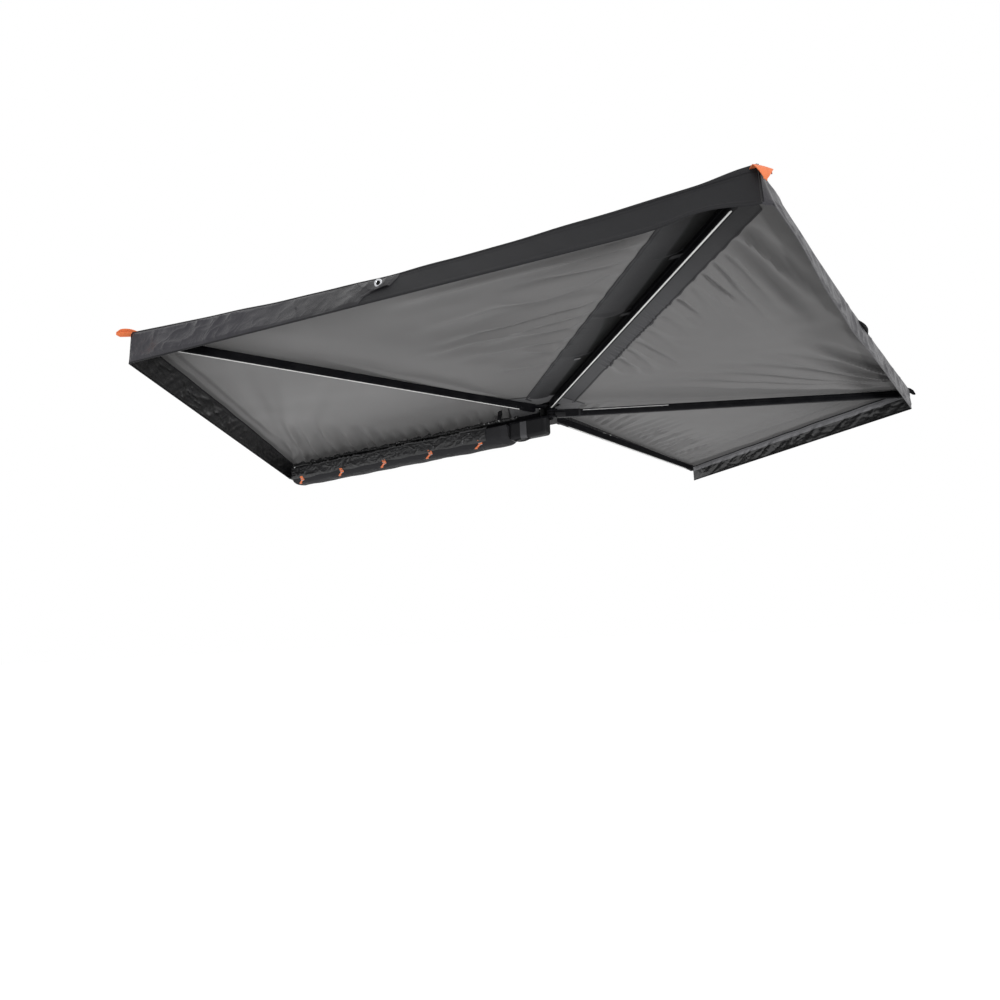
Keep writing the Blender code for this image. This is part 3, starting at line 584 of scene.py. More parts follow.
def chord(i):
    """The straight distance between a panel's outer corners."""
    return float(np.linalg.norm(bare_canopy(i, 1.0, 1.0) - bare_canopy(i, 0.0, 1.0)))


def width_at(i, out):
    return np.linalg.norm(border(i, out, -1.0) - border(i - 1, out, 1.0), axis=-1)


def ridge(place, start, end, widths, height, fade=0.3):
    """A long soft fold from start to end. Its width runs from the first to the second value, and
    it dies away over the last part of its length."""
    start = np.asarray(start, float)
    line = np.asarray(end, float) - start
    length = np.linalg.norm(line)
    line = line / length
    offset = place[..., :2] - start
    share = offset @ line / length
    aside = offset @ np.array([-line[1], line[0]])
    width = widths[0] + (widths[1] - widths[0]) * np.clip(share, 0.0, 1.0)
    ends = ramp(share, -0.08, 0.12) * (1.0 - ramp(share, 1.0 - fade, 1.0 + fade / 2))
    return height * ends * np.exp(-((aside / width) ** 2))


def direction(degrees):
    """A direction in plan, from forward towards the outer side, as the arms' angles are given."""
    angle = math.radians(degrees)
    return np.array([-math.sin(angle), math.cos(angle)])


def gathers(place, origin, along, reaches, heading, lengths, width, height, seed):
    """Folds that start at given places along a seam and run off it, each a little unlike the last."""
    chance = random.Random(seed)
    total = np.zeros(place.shape[:-1])
    for reach, length in zip(reaches, lengths):
        start = origin + along * reach
        turned = direction(heading + chance.uniform(-7.0, 7.0))
        end = start + turned * length
        wide = width * chance.uniform(0.75, 1.3)
        total += ridge(place, start, end, (wide * 0.7, wide * 1.4), height * chance.uniform(0.6, 1.2), 0.5)
        total -= ridge(
            place, start + direction(heading + 90.0) * wide * 1.7,
            end + direction(heading + 90.0) * wide * 1.7, (wide * 0.7, wide * 1.3),
            height * chance.uniform(0.4, 0.8), 0.5,
        )
    return total


def billow(place, scale, seed, octaves=3):
    """Smooth noise over the plan, as cheap sums of waves in several directions."""
    chance = random.Random(seed)
    total = np.zeros(place.shape[:-1])
    for octave in range(octaves):
        for _ in range(5):
            turned = direction(chance.uniform(0.0, 360.0))
            wave = 2 * math.pi / (scale / 1.8**octave * chance.uniform(0.8, 1.3))
            phase = chance.uniform(0.0, 2 * math.pi)
            total += np.sin(place[..., :2] @ turned * wave + phase) * 0.45 / 1.9**octave
    return total / 2.0


def evenly(first, last, count):
    return [first + (last - first) * k / (count - 1) for k in range(count)]


ORIGIN = np.zeros(2)


def folds_forward(place):
    """Panel 1, between the rail and the first arm: folds rise off the rail's line."""
    rail = np.array([BASE_X, 0.0])
    total = gathers(
        place, rail, np.array([0.0, 1.0]), evenly(0.40, 1.45, 10), 118.0, [0.30] * 10, 0.020, 0.0060, 3
    )
    total += gathers(
        place, rail, np.array([0.0, 1.0]), evenly(1.55, 2.47, 10), 124.0,
        [0.5, 0.55, 0.6, 0.7, 0.8, 0.9, 1.0, 1.1, 1.2, 1.2], 0.026, 0.0075, 4,
    )
    first, last = bare_canopy(0, 0.0, 1.0)[:2], bare_canopy(0, 1.0, 1.0)[:2]
    for inward, height in ((0.050, -0.0022), (0.085, 0.0030), (0.130, -0.0018)):
        total += ridge(
            place, last * (1.0 - inward / 2.2), first * (1.0 - inward / 2.2), (0.014, 0.018), height, 0.1
        )
    corner = np.array([BASE_X, BASE_END])
    for share, height in ((0.82, 0.006), (0.72, -0.004), (0.60, 0.004)):
        aim = arm_plan(0, ARM_REACH * share)[:2]
        total += ridge(place, corner, corner + (aim - corner) * 0.92, (0.02, 0.055), height, 0.4)
    return total


def folds_outer(place):
    """Panel 2, between the first and the second arm: long folds run off the near flap's edge,
    parallel to the outer edge."""
    arm = direction(ARM_ANGLES[1])
    aside = direction(ARM_ANGLES[1] - 90.0) * FLAP_WIDTHS[0]
    reaches = [2.06, 1.93, 1.80, 1.69, 1.58, 1.46, 1.33, 1.18, 1.02, 0.86, 0.70]
    lengths = [0.95, 1.10, 0.70, 1.00, 0.60, 0.85, 0.90, 0.55, 0.60, 0.35, 0.30]
    total = gathers(place, aside, arm, reaches, 6.0, lengths, 0.036, 0.0100, 11)
    hub = arm_plan(0, 0.35)[:2]
    total += ridge(place, hub, arm_plan(0, 1.5, 0.10)[:2], (0.02, 0.03), -0.004, 0.6)
    return total


def folds_rear(place):
    """Panel 3, between the second and the third arm: short gathers off the far flap's edge, and
    long folds that draw together towards the third arm's end."""
    arm = direction(ARM_ANGLES[1])
    aside = direction(ARM_ANGLES[1] + 90.0) * FLAP_WIDTHS[1]
    total = gathers(
        place, aside, arm, [2.16, 2.06, 1.97, 1.88, 1.78, 1.67, 1.55, 1.36, 1.20, 1.05, 0.94, 0.82], 262.0,
        [0.75, 0.95, 0.70, 0.85, 0.60, 0.50, 0.35, 0.30, 0.42, 0.48, 0.40, 0.25], 0.027, 0.0075, 21,
    )
    end = arm_plan(2, 2.62, -0.08)[:2]
    starts = ((-0.10, -1.95), (-0.02, -1.72), (0.0, -1.50), (0.04, -1.27), (0.06, -1.05), (0.08, -0.84))
    for k, (x, y) in enumerate(starts):
        start = np.array([x, y])
        aim = start + (end - start) * 0.80
        total += ridge(place, aim, start, (0.020, 0.044), 0.0095 if k % 2 else 0.0080, 0.5)
        off = np.array([0.044, 0.044])
        total -= ridge(place, aim + off * 0.5, start + off, (0.016, 0.032), 0.0090, 0.5)
    return total


def folds_side(place):
    """Panel 4, between the third and the fourth arm: gathers off the free edge and long folds
    beside the outer edge."""
    arm = direction(ARM_ANGLES[3])
    total = gathers(
        place, ORIGIN, arm, evenly(0.26, 2.20, 21), 150.0, [0.34 + 0.012 * k for k in range(21)], 0.015,
        0.0060, 31,
    )
    third = arm_plan(2, ARM_REACH)[:2]
    fourth = arm_plan(3, ARM_REACH)[:2]
    for inward, height in ((0.060, 0.004), (0.105, -0.006), (0.17, 0.006), (0.26, -0.005), (0.36, 0.003)):
        a = third * (1.0 - inward / 2.4)
        b = fourth * (1.0 - inward / 1.5)
        total += ridge(place, a, b, (0.02, 0.04), height, 0.3)
    return total


PANEL_FOLDS = (folds_forward, folds_outer, folds_rear, folds_side)
FOLD_DEPTHS = (2.6, 4.3, 3.0, 2.4)

# Beside a flap the folds start gently: the panel, their share at the flap, and from which to which
# distance from the second arm's seam they grow.
FLAP_STARTS = {1: (0.05, 0.188, 0.310), 2: (0.14, 0.150, 0.235)}


def edge_ripple(i, across):
    """The sewn outer edge isn't quite even: it ripples a few millimetres between its corners."""
    held = arch(np.asarray(across, float)) ** 0.7
    wave = np.sin(across * 34.0 + i) + 0.6 * np.sin(across * 57.0 + 2.0 * i)
    return 0.0016 * held * wave


def canopy(i, across, out):
    """The panel with its folds. They die away at the seams."""
    place = bare_canopy(i, across, out)
    across, out = np.broadcast_arrays(np.asarray(across, float), np.asarray(out, float))
    wide = width_at(i, out)
    to_seam = np.minimum(across, 1.0 - across) * wide
    to_edge = (1.0 - out) * CLOTH_REACH
    held = ramp(to_seam, 0.004, 0.045) * ramp(to_edge, 0.0, 0.05)
    if i in FLAP_STARTS:
        least, first, last = FLAP_STARTS[i]
        to_arm = (across if i == 2 else 1.0 - across) * wide
        held = held * (least + (1.0 - least) * ramp(to_arm, first, last))
    lift = FOLD_DEPTHS[i] * PANEL_FOLDS[i](place) + 0.0035 * billow(place, 0.55, 7 + i)
    lift = np.where(lift > 0.0, FOLD_CAP * np.tanh(lift / FOLD_CAP), lift)
    place[..., 2] += lift * held + edge_ripple(i, across) * ramp(out, 0.8, 1.0)
    return place


def seam_steps(count, edge, step):
    """Shares from 0 to 1 with extra ones beside both ends."""
    inner = np.linspace(edge, 1.0 - edge, count)
    outer = np.array([0.0, step, edge - step])
    return np.concatenate([outer, inner, 1.0 - outer[::-1]])


# Each panel's hem along its outer edge: how deep the doubled cloth is, how dark its painted shade
# is, and how far its inner line wanders. The darker band stands in for the shadow of the fold and
# the doubled hem.
HEMS = ((0.050, 0.22, 0.001), (0.060, 0.10, 0.001), (0.120, 0.36, 0.022), (0.125, 0.30, 0.003))


# Painted shade on broad places of the cloth: the panel, the arm that they are measured along, the
# distance out and aside, the size along and aside, and how dark.
PAINTED_SHADE_SPOTS = (
    (0, 0, 2.20, -0.35, 0.60, 0.45, 0.16), (1, 0, 1.30, 0.55, 0.80, 0.45, 0.26),
    (3, 2, 2.20, 0.16, 0.55, 0.22, 0.42),
)


def broad_shade(i, grid):
    total = np.zeros(grid.shape[:2])
    for panel, arm, out, aside, size_out, size_aside, dark in PAINTED_SHADE_SPOTS:
        if panel == i:
            away = grid[..., :2] - arm_plan(arm, out, aside)[:2]
            along = direction(ARM_ANGLES[arm])
            over = direction(ARM_ANGLES[arm] - 90.0)
            total += dark * np.exp(-((away @ along / size_out) ** 2) - (away @ over / size_aside) ** 2)
    return total


def canopy_panels():
    for i in range(4):
        steps = np.concatenate([np.linspace(0.0, 0.975, 130), [0.980, 0.986, 0.9905, 0.9915, 0.996, 1.0]])
        across, out = np.meshgrid(seam_steps(190, 0.010, 0.0015), steps)
        grid = canopy(i, across, out)
        to_seam = np.minimum(across, 1.0 - across) * width_at(i, out)
        felled = (1.0 - ramp(to_seam, 0.013, 0.0145)) * ramp(out, 0.02, 0.05)
        grid[..., 2] += 0.0006 * felled
        depth, tone, wave = HEMS[i]
        to_edge = (1.0 - out) * CLOTH_REACH
        to_edge = to_edge + wave * (np.sin(across * 13.0 + 1.0) + 0.4 * np.sin(across * 37.0 + i))
        # Painted shade: a darker band along the hem, for the shadow of the fold and the doubled cloth.
        doubled = tone * (1.0 - ramp(to_edge, depth - 0.008, depth + 0.008))
        panel = cloth_sheet(
            f"canopy_cloth_{i + 1}", grid, SHEET, CANOPY, weights=across, panel=i,
            shade=np.maximum(doubled, broad_shade(i, grid)),
        )
        tell(panel, node=f"canopy_panel_{i + 1}")
        wide = chord(i)


def hem_line(i, along):
    """The valance's straight lower hem, at its level."""
    first = bare_canopy(i, 0.0, 1.0)
    last = bare_canopy(i, 1.0, 1.0)
    if i == 0:
        first = first + (last - first) * HEM_OUTWARD / HEM_LENGTH
    line = first + (last - first) * along[..., None]
    line[..., 2] = -(SKIRT_DROPS[i] + (SKIRT_DROPS[i + 1] - SKIRT_DROPS[i]) * along)
    return line


def outward(i):
    run = bare_canopy(i, 1.0, 1.0) - bare_canopy(i, 0.0, 1.0)
    side = np.cross(run, (0.0, 0.0, 1.0))
    side = side / np.linalg.norm(side)
    middle = bare_canopy(i, 0.5, 1.0)
    return side if side @ middle > 0 else -side


def diagonal_folds(across, down, count, slant, height, seed):
    """Slanting folds of a hanging strip, each with its own place, lean and depth."""
    chance = random.Random(seed)
    total = np.zeros(np.broadcast(across, down).shape)
    for k in range(count):
        middle = (k + chance.uniform(0.2, 0.8)) / count
        lean = slant * chance.uniform(0.6, 1.4)
        wide = 0.32 / count * chance.uniform(0.6, 1.3)
        line = across - middle - lean * (down - 0.5)
        depth = height * chance.uniform(0.4, 1.0) * chance.choice((1.0, 1.0, -0.8))
        total += depth * np.exp(-((line / wide) ** 2)) * ramp(down, 0.02, 0.25)
    return total


def lattice(u, v, seed):
    """Smooth random values from 0 to 1, about one for each unit square."""
    table = np.random.RandomState(seed).rand(64, 64)
    i, j = np.floor(u).astype(int), np.floor(v).astype(int)
    s, t = u - i, v - j
    s, t = s * s * (3.0 - 2.0 * s), t * t * (3.0 - 2.0 * t)
    near = table[i % 64, j % 64] * (1.0 - s) + table[(i + 1) % 64, j % 64] * s
    far = table[i % 64, (j + 1) % 64] * (1.0 - s) + table[(i + 1) % 64, (j + 1) % 64] * s
    return near * (1.0 - t) + far * t


def crumple(u, v, scale, seed, octaves=3):
    """Sharp little creases in all directions, for stiff cloth that has been folded away. Both
    coordinates are in metres; the result is about 0 to 1."""
    total = np.zeros(np.broadcast(u, v).shape)
    weight = 0.0
    for octave in range(octaves):
        size = scale / 1.9**octave
        turn = 0.5 + 1.3 * octave
        a = (u * math.cos(turn) + v * math.sin(turn)) / size
        b = (v * math.cos(turn) - u * math.sin(turn)) / size
        warp = 1.4 * lattice(a * 0.8, b * 0.8, seed + 50 + octave)
        value = lattice(a + warp, b * 1.3 - warp, seed + octave)
        total += (1.0 - np.abs(2.0 * value - 1.0)) ** 2 / 1.8**octave
        weight += 1.0 / 1.8**octave
    return total / weight


# For each valance: the number of slanting folds, their lean as a share of the length, their depth.
SKIRT_FOLDS = ((22, 0.07, 0.0070), (14, 0.03, 0.0020), (30, -0.02, 0.0026), (24, 0.09, 0.0090))


def valance_grid(i, across, down, off=0.0):
    """Points of the valance, at a distance off its outer side."""
    inset = SEAM_GAP / ARM_REACH
    along = inset + across * (1.0 - 2.0 * inset)
    top = bare_canopy(i, along, 1.0)
    top[..., 2] += edge_ripple(i, along) - SKIRT_GAP - SHEET / 2
    hem = hem_line(i, along)
    grid = top + (hem - top) * np.asarray(down, float)[..., None]
    count, slant, height = SKIRT_FOLDS[i]
    held = arch(across) ** 0.3 * ramp(1.0 - down, 0.0, 0.25)
    push = diagonal_folds(across, down, count, slant, height, 40 + i) * held
    if i == 3:
        push = push * ramp(down, 0.10, 0.35)
    if i in (0, 3):
        long = 2.6 * across
        creases = crumple(long * 0.45, down * 0.15, 0.055, 140 + i)
        begins = (0.03, 0.30) if i == 0 else (0.15, 0.45)
        push = push + 0.0130 * creases * held * ramp(down, *begins)
    if i == 1:
        grid[..., 2] += 0.027 * bell(across, 0.935, 0.045) * ramp(1.0 - across, 0.0, 0.03) * down
    if i == 2:
        bow = 0.030 * (ramp(across, 0.0, 0.014) - ramp(across, 0.07, 0.32))
        bow -= 0.010 * bell(across, 0.46, 0.08)
        push = push + bow * down**1.3
    return grid + outward(i) * (push + off)[..., None]


# On each valance's inner side, the rows of its grid that have a lighter cloth. The fourth valance's
# pale band is painted light.
BACK_ROWS = (None, (0, 5, HEM_BAND), (0, 5, HEM_BAND), (1, 10, LIT_BAND))


def valances():
    for i in range(4):
        upper, lower = [0.0, 0.02, 0.06, 0.11, 0.15, 0.158, 0.17], [0.862, 0.868, 0.90, 0.94, 0.98, 1.0]
        steps = np.concatenate([upper, np.linspace(0.2, 0.84, 15), lower])
        across, down = np.meshgrid(np.linspace(0.0, 1.0, 420), steps)
        hem_band = ramp(down, 0.862, 0.868) + (1.0 - ramp(down, 0.15, 0.158))
        grid = valance_grid(i, across, down, 0.0005 * hem_band)
        skirt = cloth_sheet(
            f"valance_cloth_{i + 1}", grid, SHEET, SKIRT, back=SKIRT_LINING, back_rows=BACK_ROWS[i],
            weights=across, panel=i, up=outward(i),
        )
        tell(skirt, node=f"valance_{i + 1}")
        round(chord(i), 2)


# How far down the valances their second layers reach. The second panel's ends at these shares of
# the length, at depths from top to hem.
LAYER_DEPTH = 0.965
LAYER_END = ((0.0, 0.20, 0.45, 0.58, 0.70, 1.0), (0.506, 0.504, 0.496, 0.466, 0.455, 0.450))
EYELET_AT = 0.4725

# Where the loop on the third valance starts and how long it is, as shares of the length.
LOOP_START = 0.505
LOOP_LENGTH = 0.08


def valance_overlays():
    """A second, crinkled layer: over the first half of the second panel's valance, and over the
    whole of the third's. The first one's end is cut in a curve and carries an eyelet."""
    for i in (1, 2):
        long = chord(i)
        share, down = net((0.0, 1.0, 420), (0.0, LAYER_DEPTH, 44))
        last = np.interp(down, *LAYER_END) if i == 1 else np.ones_like(down)
        across = 0.003 + (last - 0.006) * share
        u, v = across * long, down * SKIRT_DROPS[i + 1]
        fine = 0.18 if i == 1 else 0.08
        creased = (1.0 - fine) * crumple(u * 0.8, v, 0.120, 71 + i, 2)
        creased = creased + fine * crumple(u * 0.9, v, 0.040, 77 + i, 2)
        near = 1.0 - ramp(u, 0.45, 0.95) + 0.7 * bell(u, 1.36, 0.10) if i == 1 else -0.25
        lift = 0.0016 + 0.0130 * creased * (0.6 + 0.9 * near)
        lift = lift + 0.0050 * billow(points(u, v, 0.0), 0.20, 75 + i)
        held = ramp(down, 0.0, 0.12) * ramp(LAYER_DEPTH - down, 0.0, 0.10)
        held = held * ramp(share, 0.0, 0.01) * ramp(1.0 - share, 0.0, 0.01)
        seam = bell(u, 0.155, 0.003) if i == 1 else 0.0
        off = 0.0021 + lift * held + 0.0012 * seam
        grid = valance_grid(i, across, down, off)
        # The second panel's layer grows darker towards its cut end.
        layer = cloth_sheet(
            f"valance_layer_{i + 1}", grid, 0.0008, OVERLAY, weights=across, panel=i,
            shade=0.60 * ramp(u, 0.50, 1.25) if i == 1 else 0.0, up=outward(i),
        )
    centre = valance_grid(1, np.array(EYELET_AT), np.array(0.27), np.array(0.0150))
    eyelet = ring("valance_eyelet", centre, outward(1), 0.0150, 0.0048, ZINC)
    # The black disc in the eyelet's hole is painted shade.
    turn = full_turn(24)[None, :, None]
    run = np.cross(outward(1), (0.0, 0.0, 1.0))
    spoke = run * np.cos(turn) + np.array([0, 0, 1.0]) * np.sin(turn)
    disc = centre + np.array([0.002, 0.012, 0.0125])[:, None, None] * spoke
    disc = disc + outward(1) * np.array([0.0010, 0.0006, -0.0010])[:, None, None]
    shadow_disc = lofted("eyelet_painted_shadow", disc, SLEEVE)
    for piece, slot in ((eyelet, "zinc_plated_steel"), (shadow_disc, "skirt_cloth")):
        span(piece)
    share = np.linspace(LOOP_START, LOOP_START + LOOP_LENGTH, 40)
    bulge = np.sin(math.pi * (share - LOOP_START) / LOOP_LENGTH) ** 0.8
    rows = np.linspace(0.0, 1.0, 9)
    strap = valance_grid(2, share[None], np.full((9, 40), 0.10), 0.004 + 0.020 * bulge * rows[:, None])
    strap[..., 2] -= 0.010 * bulge * arch(rows[:, None])
    loop = cloth_sheet(
        "valance_loop", strap, 0.002, BLACK_WEBBING, panel=2, weights=share[None], up=outward(2)
    )


def bindings():
    """A folded tape over each panel's outer edge, and another along each valance's hem."""
    share = np.linspace(0.0, 1.0, 200)
    for i in range(4):
        for label, down, width, high in (("top", 0.0, 0.0026, 0.0058), ("hem", 0.985, 0.0019, 0.0048)):
            middle = valance_grid(i, share, np.full(200, down))
            rise = np.zeros(200)
            if label == "top":
                middle = middle + outward(i) * 0.0012
                middle[:, 2] -= 0.0012
                if i in (1, 2):
                    rise = 0.013 * (ramp(share, 0.93, 0.985) if i == 1 else 1.0 - ramp(share, 0.0, 0.02))
            middle[:, 2] += rise / 2
            angle = full_turn(12)
            flat = blunt(np.cos(angle), 0.7) * width
            tall = blunt(np.sin(angle), 0.7)[None, :, None] * (high + rise / 2)[:, None, None]
            sections = middle[:, None] + outward(i) * flat[None, :, None] + np.array([0, 0, 1.0]) * tall
            tape = lofted(f"{label}_tape_{i + 1}", sections, OVERLAY if i == 2 else SKIRT, i)


def flap_share(reach):
    """The place along a flap of a distance from the hub."""
    out = (reach - HUB_RING) / CLOTH_REACH
    return (out - FLAP_SHARES[0]) / (FLAP_SHARES[1] - FLAP_SHARES[0])


# The painted shadows in the pockets beside the second arm, from one distance from the hub to
# another. Each is wide at its outer end and closes inwards; both widths are shares of the flap's.
FIRST_POCKET = 0.925
POCKETS = (
    (0.18, FIRST_POCKET, 0.50, 0.34), (FIRST_POCKET, 1.435, 0.78, 0.34), (1.435, 1.97, 0.50, 0.30),
    (1.97, 2.40, 0.72, 0.50),
)


def painted_pocket_shadow(share, across):
    """Painted shadow on the near flap: black beside the arm, in pockets that end in crisp steps."""
    total = np.zeros(np.broadcast(share, across).shape)
    for low, high, wide, narrow in POCKETS:
        start, end = flap_share(low), flap_share(high)
        inside = ramp(share, start, start + 0.003) * (1.0 - ramp(share, end - 0.004, end))
        width = narrow + (wide - narrow) * np.clip((share - start) / (end - start), 0.0, 1.0) ** 1.4
        dark = 1.0 - ramp(across, width * 0.62, width * 1.12)
        total = np.maximum(total, inside * dark)
    return total


def flap_grid(side, width, share, across, drop):
    """Points under the second arm's seam: across from the arm, and outwards along it."""
    panel = 2 if side > 0 else 1
    spread = math.radians(ARM_ANGLES[panel] - ARM_ANGLES[panel - 1])
    out = FLAP_SHARES[0] + (FLAP_SHARES[1] - FLAP_SHARES[0]) * share
    reach = HUB_RING + CLOTH_REACH * out
    on_panel = np.minimum(width, 0.8 * reach * math.sin(spread)) * across / (reach * math.sin(spread))
    panel_across = on_panel if side > 0 else 1.0 - on_panel
    grid = canopy(panel, panel_across, out)
    grid[..., 2] -= SHEET / 2 + 0.0006 + FLAP_SHEET / 2 + drop
    return panel, panel_across, grid


# Hook-and-loop patches on the near flap: the distance from the hub, the place across, the size.
PATCHES = ((1.955, 0.14, 0.030), (1.42, 0.14, 0.030), (0.885, 0.42, 0.018))


def flaps():
    """Dark bands over the second arm's seam: the near one hangs a little, the far one is gathered."""
    long = CLOTH_REACH * (FLAP_SHARES[1] - FLAP_SHARES[0])
    for name, side, width in (("near", -1.0, FLAP_WIDTHS[0]), ("far", 1.0, FLAP_WIDTHS[1])):
        across, share = net((0.0, 1.0, 64), (0.0, 1.0, 520))
        chance = random.Random(5)
        pleats = np.zeros_like(share)
        for _ in range(52 if side > 0 else 26):
            middle = flap_share(chance.uniform(0.80, 1.62) if side > 0 else chance.uniform(0.4, 1.5))
            line = share - middle - chance.uniform(-0.014, 0.014) * across
            pleats += np.exp(-((line / chance.uniform(0.0016, 0.0036)) ** 2)) * chance.uniform(0.3, 1.0)
        edge = ramp(across, 0.30, 0.95) if side > 0 else ramp(across, 0.55, 1.0) * 0.20
        drop = (0.0052 if side > 0 else 0.0075) * np.clip(pleats, 0.0, 1.2) * edge
        drop += 0.0035 * bell(across, 0.955, 0.035)
        sag = (0.014 if side < 0 else 0.002) * arch(across) ** 1.6 * arch(share) ** 0.5
        shade = np.zeros_like(share)
        if side < 0:
            # Painted shadow of the arm's tube: darker towards the arm, and less dark near the hub.
            tube_shadow = 0.70 - 0.34 * ramp(across, 0.45, 1.0) - 0.12 * (share < flap_share(FIRST_POCKET))
            shade = np.maximum(painted_pocket_shadow(share, across), tube_shadow)
            for _, high, wide, _ in POCKETS[:3]:
                end = flap_share(high)
                step = ramp(share, end - 0.006, end - 0.002) * (1.0 - ramp(share, end, end + 0.02))
                drop += 0.006 * step * (1.0 - ramp(across, wide * 0.8, wide * 1.3)) * ramp(across, 0.08, 0.2)
        seam = bell(across, 0.93, 0.018) + bell(across, 1.0, 0.02)
        # The far flap grows darker towards its outer end.
        if side > 0:
            shade = 0.50 * ramp(share, 0.55, 0.92)
        shade = np.clip(np.maximum(shade * 0.97, 0.75 * seam), 0.0, 1.0)
        panel, panel_across, grid = flap_grid(side, width, share, across, drop + sag)
        flap = cloth_sheet(
            f"arm_2_band_{name}", grid, FLAP_SHEET, FLAP, weights=panel_across, panel=panel, shade=shade,
            up=(0.0, 0.0, -1.0),
        )
        tell(flap, node=f"arm_2_flap_{name}")
    for number, (reach, out_of_line, size) in enumerate(PATCHES):
        across, share = net((0.0, 1.0, 9), (0.0, 1.0, 9))
        spot = out_of_line + (across - 0.5) * size / FLAP_WIDTHS[0] * 1.6
        at = flap_share(reach) + (share - 0.5) * size / long
        panel, panel_across, grid = flap_grid(-1.0, FLAP_WIDTHS[0], at, spot, 0.019)
        patch = cloth_sheet(
            f"hook_patch_{number + 1}", grid, 0.0016, BINDING if number < 2 else HEM_BAND,
            weights=panel_across, panel=panel, up=(0.0, 0.0, -1.0),
        )


def hub_patches():
    """Reinforcing cloth under each panel's corner at the hub, with a taped edge."""
    for i in range(4):
        first, last = ((0.105, 0.105), (0.105, 0.050), (0.046, 0.068), (0.068, 0.085))[i]
        across, share = net((0.004, 0.996, 60), (0.0, 1.0, 30))
        reach = first + (last - first) * across
        out = share * reach
        grid = canopy(i, across, out)
        grid[..., 2] -= 0.0024 + 0.0020 * crumple(grid[..., 0], grid[..., 1], 0.06, 90 + i)
        tape = ramp(out, reach - 0.0045, reach - 0.004)
        patch = cloth_sheet(
            f"hub_patch_{i + 1}", grid, 0.0012, HEM_BAND, weights=across, panel=i, shade=0.8 * tape,
            up=(0.0, 0.0, -1.0),
        )
    height, turn = net((0.0, 1.0, 8), (0.0, 2 * math.pi, 65))
    radius = 0.004 + 0.090 * np.sin(height * math.pi / 2)
    level = 0.0046 - 0.0016 * height**6
    ridges = 0.0006 * np.cos(turn * 8.0) * np.sin(height * math.pi)
    cap = cloth_sheet(
        "hub_cap_cloth", points(radius * np.cos(turn), radius * np.sin(turn), level + ridges), 0.0014,
        HEM_BAND, back=SLEEVE, up=(0.0, 0.0, 1.0),
    )
    tell(cap, "root", "hub_top_cover")


def side_curtain():
    """Black cloth gathered along the vehicle's side of the last panel, deepest at the hub."""
    share, down = net((0.0, 1.0, 420), (0.0, 1.0, 16))
    reach = 0.10 + 2.32 * share
    deep = 0.016 + 0.060 * bell(reach, 0.10, 0.42)
    gather = np.sin(reach * 150.0 + 2.0 * np.sin(reach * 23.0)) * 0.5 + np.sin(reach * 67.0 + 1.0) * 0.5
    aside = -FREE_EDGE * 0.2 + 0.0065 * gather * down * (1.0 - ramp(reach, 0.5, 1.4) * 0.8)
    grid = arm_plan(3, reach, FREE_EDGE + aside - 0.001, -0.0016 - deep * down)
    curtain = cloth_sheet("side_curtain", grid, 0.0010, SKIRT_LINING, up=(1.0, 0.0, 0.0))
    tell(curtain, "arm_4")


# Arms

def arm_place(i, along, aside, level):
    """Points on arm i's tube: from its root outwards, aside, and down from its top."""
    root_top = TUBE_TOP - ROOT_DROPS[i]
    slope = math.atan2(ROOT_DROPS[i], TUBE_LENGTH + CAP_LENGTH)
    along, aside, level = np.broadcast_arrays(
        np.asarray(along, float), np.asarray(aside, float), np.asarray(level, float)
    )
    out = TUBE_START + along * math.cos(slope) - level * math.sin(slope)
    z = root_top + along * math.sin(slope) + level * math.cos(slope)
    return arm_plan(i, out, aside, z)


GROOVE = ((-0.017, 0.0), (-0.0178, 0.0014), (-0.0242, 0.0014), (-0.025, 0.0))


def tube_outline():
    """The arm's section, aside and down: rounded corners and a groove along each side."""
    half = TUBE_WIDTH / 2
    radius = 0.004
    outline = []
    corners = (
        (half - radius, -radius, 0.0), (half - radius, -TUBE_HEIGHT + radius, -90.0),
        (-half + radius, -TUBE_HEIGHT + radius, -180.0), (-half + radius, -radius, -270.0),
    )
    for number, (x, z, first) in enumerate(corners):
        for step in range(5):
            angle = math.radians(first + 90.0 - 90.0 * step / 4)
            outline.append((x + radius * math.cos(angle), z + radius * math.sin(angle)))
        if number == 0:
            outline += [(half - depth, level) for level, depth in GROOVE]
        if number == 2:
            outline += [(depth - half, level) for level, depth in reversed(GROOVE)]
    return np.array(outline)


# The pale strips: aside of the arm's middle, level below its top, where they start and end from
# the tube's root, and their finish. The third arm's is a short grey line high on its side, a
# painted highlight in place of a strip.
STRIPS = (
    (-0.002, -TUBE_HEIGHT, 0.03, 2.15, PALE), (-0.006, -TUBE_HEIGHT - 0.0022, -0.105, 2.12, PALE),
    (-0.0131, -0.0100, 0.03, 0.62, HIGHLIGHT_STRIP), (0.0, -TUBE_HEIGHT, 0.10, 2.10, PALE),
)


RIVET_PLACES = (0.022, 0.062)
RIVET_LEVEL = -0.036


